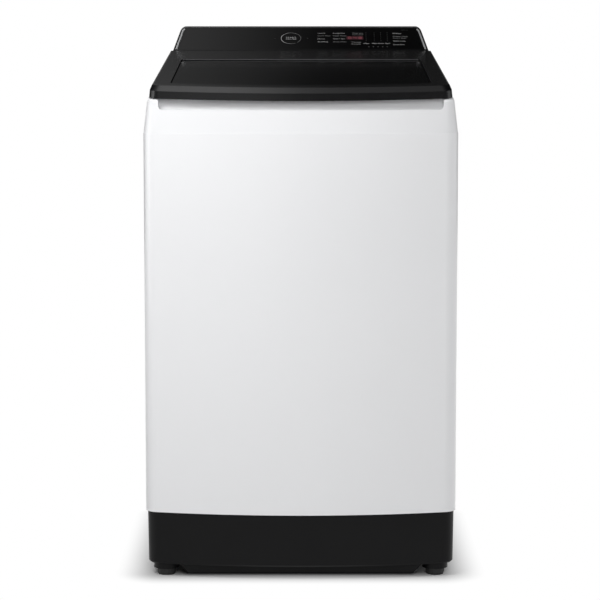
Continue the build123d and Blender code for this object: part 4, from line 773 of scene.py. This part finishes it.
def start_ring():
    """Printed ring round the start legend, with a gap at its lower right."""
    line = 0.9 * MM
    gap_from = math.radians(-62)
    gap_to = math.radians(-50)

    def in_gap(face):
        middle = face.calc_center_median()
        return gap_from < math.atan2(middle.y, middle.x) < gap_to

    bpy.ops.mesh.primitive_circle_add(vertices=96, radius=RING_RADIUS * MM, fill_type="NGON")
    ring = bpy.context.object
    with editing():
        bpy.ops.mesh.select_all(action="SELECT")
        bpy.ops.mesh.inset(thickness=line)
        bpy.ops.mesh.delete(type="FACE")
        pick("FACE", in_gap)
        bpy.ops.mesh.delete(type="FACE")
        bpy.ops.mesh.select_all(action="SELECT")
        bpy.ops.mesh.extrude_region_move(TRANSFORM_OT_translate={"value": (0, 0, PRINT_DEPTH)})
    lay_on_panel(ring, *RING_MIDDLE)
    fit(ring, "start_ring", "cabinet_body", ring_ink())


def light_bar(across, down, length, flat):
    """One pointed bar of a lit digit, just over its window."""
    thickness = 1.3 * MM
    bpy.ops.mesh.primitive_cylinder_add(vertices=6, radius=0.5, depth=PRINT_DEPTH)
    bar = bpy.context.object
    bar.scale = (length, thickness, 1) if flat else (thickness, length, 1)
    settle(bar)
    return lay_on_panel(bar, across, down, lift=PRINT_DEPTH)


def time_digits():
    """Three lit red digits."""
    shown_time = "048"
    digit_width = 5.4
    digit_height = 6.6
    digit_pitch = 11.3
    lit_share = 0.95
    middle_across, middle_down = DISPLAY_MIDDLE
    bars = []
    for index, digit in enumerate(shown_time):
        for segment in DIGITS[digit]:
            right, up, flat = SEGMENTS[segment]
            across = middle_across + (index - 1) * digit_pitch + right * digit_width
            down = middle_down - up * digit_height / 2
            length = digit_width if flat else digit_height / 2
            bars.append(light_bar(across, down, lit_share * length * MM, flat))
    fit(join(bars), "time_digits", "cabinet_body", RED_LIGHT)


def time_window():
    """Dark red window under the digits, with round corners."""
    width = 37.0 * MM
    height = 13.0 * MM
    corner = 2.0 * MM
    bpy.ops.mesh.primitive_cube_add(size=1)
    window = bpy.context.object
    window.scale = (width, height, PRINT_DEPTH)
    settle(window)
    with editing():
        pick("EDGE", lambda edge: abs(edge.verts[0].co.z - edge.verts[1].co.z) > PRINT_DEPTH / 2)
        bpy.ops.mesh.bevel(offset=corner, segments=4, affect="EDGES")
    lay_on_panel(window, *DISPLAY_MIDDLE)
    fit(window, "time_window", "cabinet_body", RED_GLOW)


def screw_head():
    """A pan head with a cross recess, facing the rear, modelled at the origin."""
    radius = 4.2 * MM
    height = 2.2 * MM
    rounding = 1.4 * MM
    facing_up = 0.9
    recess_length = 1.25 * radius
    recess_width = 0.24 * radius
    recess_depth = 0.6 * height
    bpy.ops.mesh.primitive_cylinder_add(vertices=24, radius=radius, depth=height)
    head = bpy.context.object
    with editing():
        pick("FACE", lambda face: face.normal.z > facing_up)
        bpy.ops.mesh.bevel(offset=rounding, segments=3, affect="EDGES")
    for turn in (0, math.pi / 2):
        bpy.ops.mesh.primitive_cube_add(size=1, location=(0, 0, height / 2), rotation=(0, 0, turn))
        cutter = bpy.context.object
        cutter.scale = (recess_length, recess_width, 2 * recess_depth)
        settle(cutter)
        select_only(head)
        cut = head.modifiers.new("recess", "BOOLEAN")
        cut.operation = "DIFFERENCE"
        cut.object = cutter
        bpy.ops.object.modifier_apply(modifier="recess")
        bpy.data.objects.remove(cutter)
    head.rotation_euler = (-math.pi / 2, 0, 0)
    return settle(head)


def rear_screws():
    """Screws up both flanges of the back."""
    from_side = 15 * MM
    head_middle = 0.9 * MM
    shares_up = (0.05, 0.28, 0.5, 0.72, 0.95)
    cabinet_low, cabinet_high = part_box("cabinet")
    flange_x = cabinet_high.x - from_side
    rear = cabinet_high.y + head_middle
    pattern = screw_head()
    heads = []
    for side in (-1, 1):
        for share in shares_up:
            height = cabinet_low.z + share * (cabinet_high.z - cabinet_low.z)
            heads.append(copy_of(pattern, (side * flange_x, rear, height)))
    bpy.data.objects.remove(pattern)
    fit(join(heads), "rear_screws", "cabinet_body", FINISHES["steel"])


def pipe_thread(x, y, z):
    """Raised thread wound round an inlet nozzle, from the place of its mouth."""
    pitch = 1.8 * MM
    half_base = 0.42 * pitch
    root = 13.15 * MM
    painted_highlight_mask = 13.9 * MM
    turns = 6
    steps_per_turn = 40
    first_thread = 1.9 * MM
    corners = ((root, -half_base), (painted_highlight_mask, 0.0), (root, half_base))
    bpy.ops.mesh.primitive_circle_add(vertices=len(corners), fill_type="NGON")
    thread = bpy.context.object
    for vertex, (radius, height) in zip(thread.data.vertices, corners):
        vertex.co = (radius, 0, height)
    winding = thread.modifiers.new("winding", "SCREW")
    winding.axis = "Z"
    winding.screw_offset = pitch
    winding.iterations = turns
    winding.steps = steps_per_turn
    winding.render_steps = steps_per_turn
    winding.use_merge_vertices = True
    bpy.ops.object.modifier_apply(modifier="winding")
    thread.rotation_euler = (math.pi / 2, 0, 0)
    thread.location = (x, y - first_thread, z)
    return settle(thread)


def nozzle_threads():
    """Pipe threads on the two inlet nozzles, closed at their ends."""
    mouths = [mount["pos_m"] for mount in frame["record"]["mounts"] if mount["name"].endswith("_inlet")]
    threads = join([pipe_thread(*mouth) for mouth in mouths])
    with editing():
        bpy.ops.mesh.select_all(action="SELECT")
        bpy.ops.mesh.fill_holes(sides=3)
        bpy.ops.mesh.select_all(action="SELECT")
        bpy.ops.mesh.normals_make_consistent(inside=False)
    fit(threads, "nozzle_threads", "cabinet_body", FINISHES["grey_plastic"])


def draw_out(step, widening=1.0):
    """Draw the selected end of a tube out along its axis, and widen or narrow it there."""
    bpy.ops.mesh.extrude_region_move(TRANSFORM_OT_translate={"value": (0, 0, step)})
    bpy.ops.transform.resize(value=(widening, widening, 1))


def drain_sleeve():
    """Ribbed rubber hose from the pump to the outlet."""
    rib_pitch = 8 * MM
    rib_depth = 1.6 * MM
    before_rib = 0.2 * rib_pitch
    rib_flank = 0.15 * rib_pitch
    rib_crest = 0.4 * rib_pitch
    after_rib = 0.1 * rib_pitch
    wall = 1.4 * MM
    plain_end = 16 * MM
    clearance = 0.2 * MM
    smooth_angle = math.radians(40)
    low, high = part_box("drain_hose")
    outer = (high.x - low.x) / 2 - clearance
    inner = outer - rib_depth
    length = high.y - low.y
    middle_x = (low.x + high.x) / 2
    middle_z = (low.z + high.z) / 2
    ribs = int((length - 2 * plain_end) / rib_pitch)
    bpy.ops.mesh.primitive_circle_add(vertices=48, radius=inner)
    hose = bpy.context.object
    with editing():
        bpy.ops.mesh.select_mode(type="EDGE")
        bpy.ops.mesh.select_all(action="SELECT")
        draw_out(plain_end)
        for _ in range(ribs):
            draw_out(before_rib)
            draw_out(rib_flank, outer / inner)
            draw_out(rib_crest)
            draw_out(rib_flank, inner / outer)
            draw_out(after_rib)
        draw_out(length - plain_end - ribs * rib_pitch)
        bpy.ops.mesh.select_all(action="SELECT")
        bpy.ops.mesh.normals_make_consistent(inside=False)
    thick = hose.modifiers.new("wall", "SOLIDIFY")
    thick.thickness = wall
    thick.offset = -1
    bpy.ops.object.modifier_apply(modifier="wall")
    hose.rotation_euler = (-math.pi / 2, 0, 0)
    hose.location = (middle_x, low.y, middle_z)
    settle(hose)
    bpy.ops.object.shade_smooth_by_angle(angle=smooth_angle)
    dress_piece(hose, "drain_sleeve", FINISHES["rubber"])
    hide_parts("drain_hose")
    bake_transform(hose)


def stage_material(name):
    """Start a material of the studio: the surface to feed, and its place in the object's own coordinates."""
    material = bpy.data.materials.new(name)
    material.use_nodes = True
    tree = material.node_tree
    tree.nodes.remove(tree.nodes["Principled BSDF"])
    place = Wire(tree, tree.nodes.new("ShaderNodeTexCoord").outputs["Object"])
    return material, tree.nodes["Material Output"].inputs["Surface"], place


def seen_rays(tree):
    """1 for what the eye sees, straight or in gloss or glass, and 0 for light that falls on things."""
    rays = tree.nodes.new("ShaderNodeLightPath").outputs
    straight = Wire(tree, rays["Is Camera Ray"])
    in_gloss = Wire(tree, rays["Is Glossy Ray"])
    in_glass = Wire(tree, rays["Is Transmission Ray"])
    return straight.math("MINIMUM", straight + in_gloss + in_glass, 1.0)


def floor():
    """Pale floor, white to the eye except for the shadow close about the machine's foot."""
    floor_size = 60
    half_width = 0.27
    half_depth = 0.27
    shadow_reach = 0.1
    bpy.ops.mesh.primitive_plane_add(size=floor_size)
    ground = bpy.context.object
    ground.name = "floor"
    material, surface, place = stage_material("pale_floor")
    x, y, _ = place.parts()
    beside = place.math("MAXIMUM", abs(x) - half_width, 0.0)
    before = place.math("MAXIMUM", abs(y) - half_depth, 0.0)
    distance = place.math("SQRT", beside * beside + before * before)
    whiteness = distance.ramp(0.0, shadow_reach) * seen_rays(place.tree)
    pale = place.node("BsdfDiffuse", {"Color": (0.5, 0.5, 0.5, 1)})
    white = place.node("Emission", {"Color": (1, 1, 1, 1), "Strength": 1.0})
    feed(surface, place.node("MixShader", {0: whiteness, 1: pale, 2: white}))
    ground.data.materials.append(material)


def show_in_gloss_only(card):
    """Let a bright card be seen in polish, and light or shade nothing else."""
    card.visible_camera = False
    card.visible_diffuse = False
    card.visible_shadow = False
    card.visible_transmission = False


def tent_profile(rise, stops):
    """Brightness along the tent's vault, from a ramp of places and grey levels."""
    profile = rise.node("ValToRGB", {"Fac": rise})
    elements = profile.socket.node.color_ramp.elements
    while len(elements) < len(stops):
        elements.new(1.0)
    for element, (place, level) in zip(elements, stops):
        element.position = place
        element.color = (level, level, level, 1)
    return profile


def gloss_tent():
    """Vaulted dark cloth about the machine, seen only in its polish: lighter at the left and overhead."""
    radius = 3.0
    length = 16.0
    middle_height = 0.95
    hem_height = 0.3
    left_edge = -0.55
    right_edge = 0.15
    lit_half = 1.4
    dark_half = 2.2
    bpy.ops.mesh.primitive_cylinder_add(vertices=96, radius=radius, depth=length, end_fill_type="NOTHING")
    tent = bpy.context.object
    tent.name = "gloss_tent"
    tent.rotation_euler = (0, math.pi / 2, 0)
    tent.location = (0, 0, middle_height)
    settle(tent)
    with editing():
        bpy.ops.mesh.select_all(action="SELECT")
        bpy.ops.mesh.bisect(plane_co=(0, 0, hem_height), plane_no=(0, 0, 1), clear_inner=True)
    material, surface, place = stage_material("gloss_tent")
    x, y, z = place.parts()
    rise = abs(x.math("ARCTAN2", z - middle_height, y)) / math.pi
    on_left = x.ramp(right_edge, left_edge)
    left_level = tent_profile(rise, TENT_LEFT)
    right_level = tent_profile(rise, TENT_RIGHT)
    within = abs(x).ramp(dark_half, lit_half)
    level = between(on_left, right_level, left_level) * within
    feed(surface, place.node("Emission", {"Strength": level}))
    tent.data.materials.append(material)
    show_in_gloss_only(tent)


def left_card():
    """Bright upright card at the left, seen only in polished edges."""
    middle = (-3.0, -0.8, 1.2)
    height = 2.0
    strength = 2.5
    bpy.ops.mesh.primitive_plane_add(size=1, location=middle, rotation=(0, math.pi / 2, 0))
    card = bpy.context.object
    card.name = "left_card"
    card.scale.x = height
    material, surface, place = stage_material("left_card")
    feed(surface, place.node("Emission", {"Strength": strength}))
    card.data.materials.append(material)
    show_in_gloss_only(card)


def area_light(name, place, target, size, power, spread=math.pi):
    """A soft square lamp aimed at a point."""
    bpy.ops.object.light_add(type="AREA", location=place)
    lamp = bpy.context.object
    lamp.name = name
    lamp.data.shape = "SQUARE"
    lamp.data.size = size
    lamp.data.energy = power
    lamp.data.spread = spread
    lamp.visible_camera = False
    lamp.visible_glossy = False
    aim = Vector(target) - Vector(place)
    lamp.rotation_euler = aim.to_track_quat("-Z", "Y").to_euler()


def lamps():
    """Soft light from left, front, right and behind, and a narrow beam down into the basket."""
    machine = (0, 0, 0.6)
    over_basket = (0, TUB_AXIS_Y, 3.0)
    in_basket = (0, TUB_AXIS_Y, 0.6)
    narrow = math.radians(6)
    area_light("key_light", (-1.0, -1.2, 2.1), machine, size=0.9, power=27.6)
    area_light("front_light", (0.4, -3.8, 2.0), machine, size=1.6, power=59.3)
    area_light("side_light", (3.2, 0.6, 1.6), machine, size=1.6, power=37.5)
    area_light("back_light", (0.8, 3.4, 2.0), machine, size=1.6, power=70.0)
    area_light("basket_light", over_basket, in_basket, size=0.25, power=0.16, spread=narrow)


def studio_world():
    """White surroundings for camera, gloss and glass, and softer light for the rest."""
    ambient = 0.135
    world = bpy.data.worlds.new("studio")
    bpy.context.scene.world = world
    world.use_nodes = True
    background = world.node_tree.nodes["Background"].inputs
    feed(background["Color"], (1, 1, 1, 1))
    feed(background["Strength"], between(seen_rays(world.node_tree), ambient, 1))


def camera():
    """Camera at the photograph's viewing angle."""
    bpy.ops.object.camera_add(location=CAMERA_PLACE, rotation=(math.pi / 2 - CAMERA_PITCH, 0, 0))
    eye = bpy.context.object
    eye.data.sensor_width = SENSOR_WIDTH
    eye.data.lens = FOCAL_PIXELS * SENSOR_WIDTH / PICTURE_PIXELS
    eye.data.shift_x, eye.data.shift_y = CAMERA_SHIFT
    bpy.context.scene.camera = eye


dress_nodes()
window_pane()
window_edge()
bright_legends()
grey_legends()
dim_marks()
start_ring()
time_digits()
time_window()
rear_screws()
nozzle_threads()
drain_sleeve()
floor()
gloss_tent()
left_card()
lamps()
studio_world()
camera()
bpy.context.scene.view_settings.view_transform = "Standard"
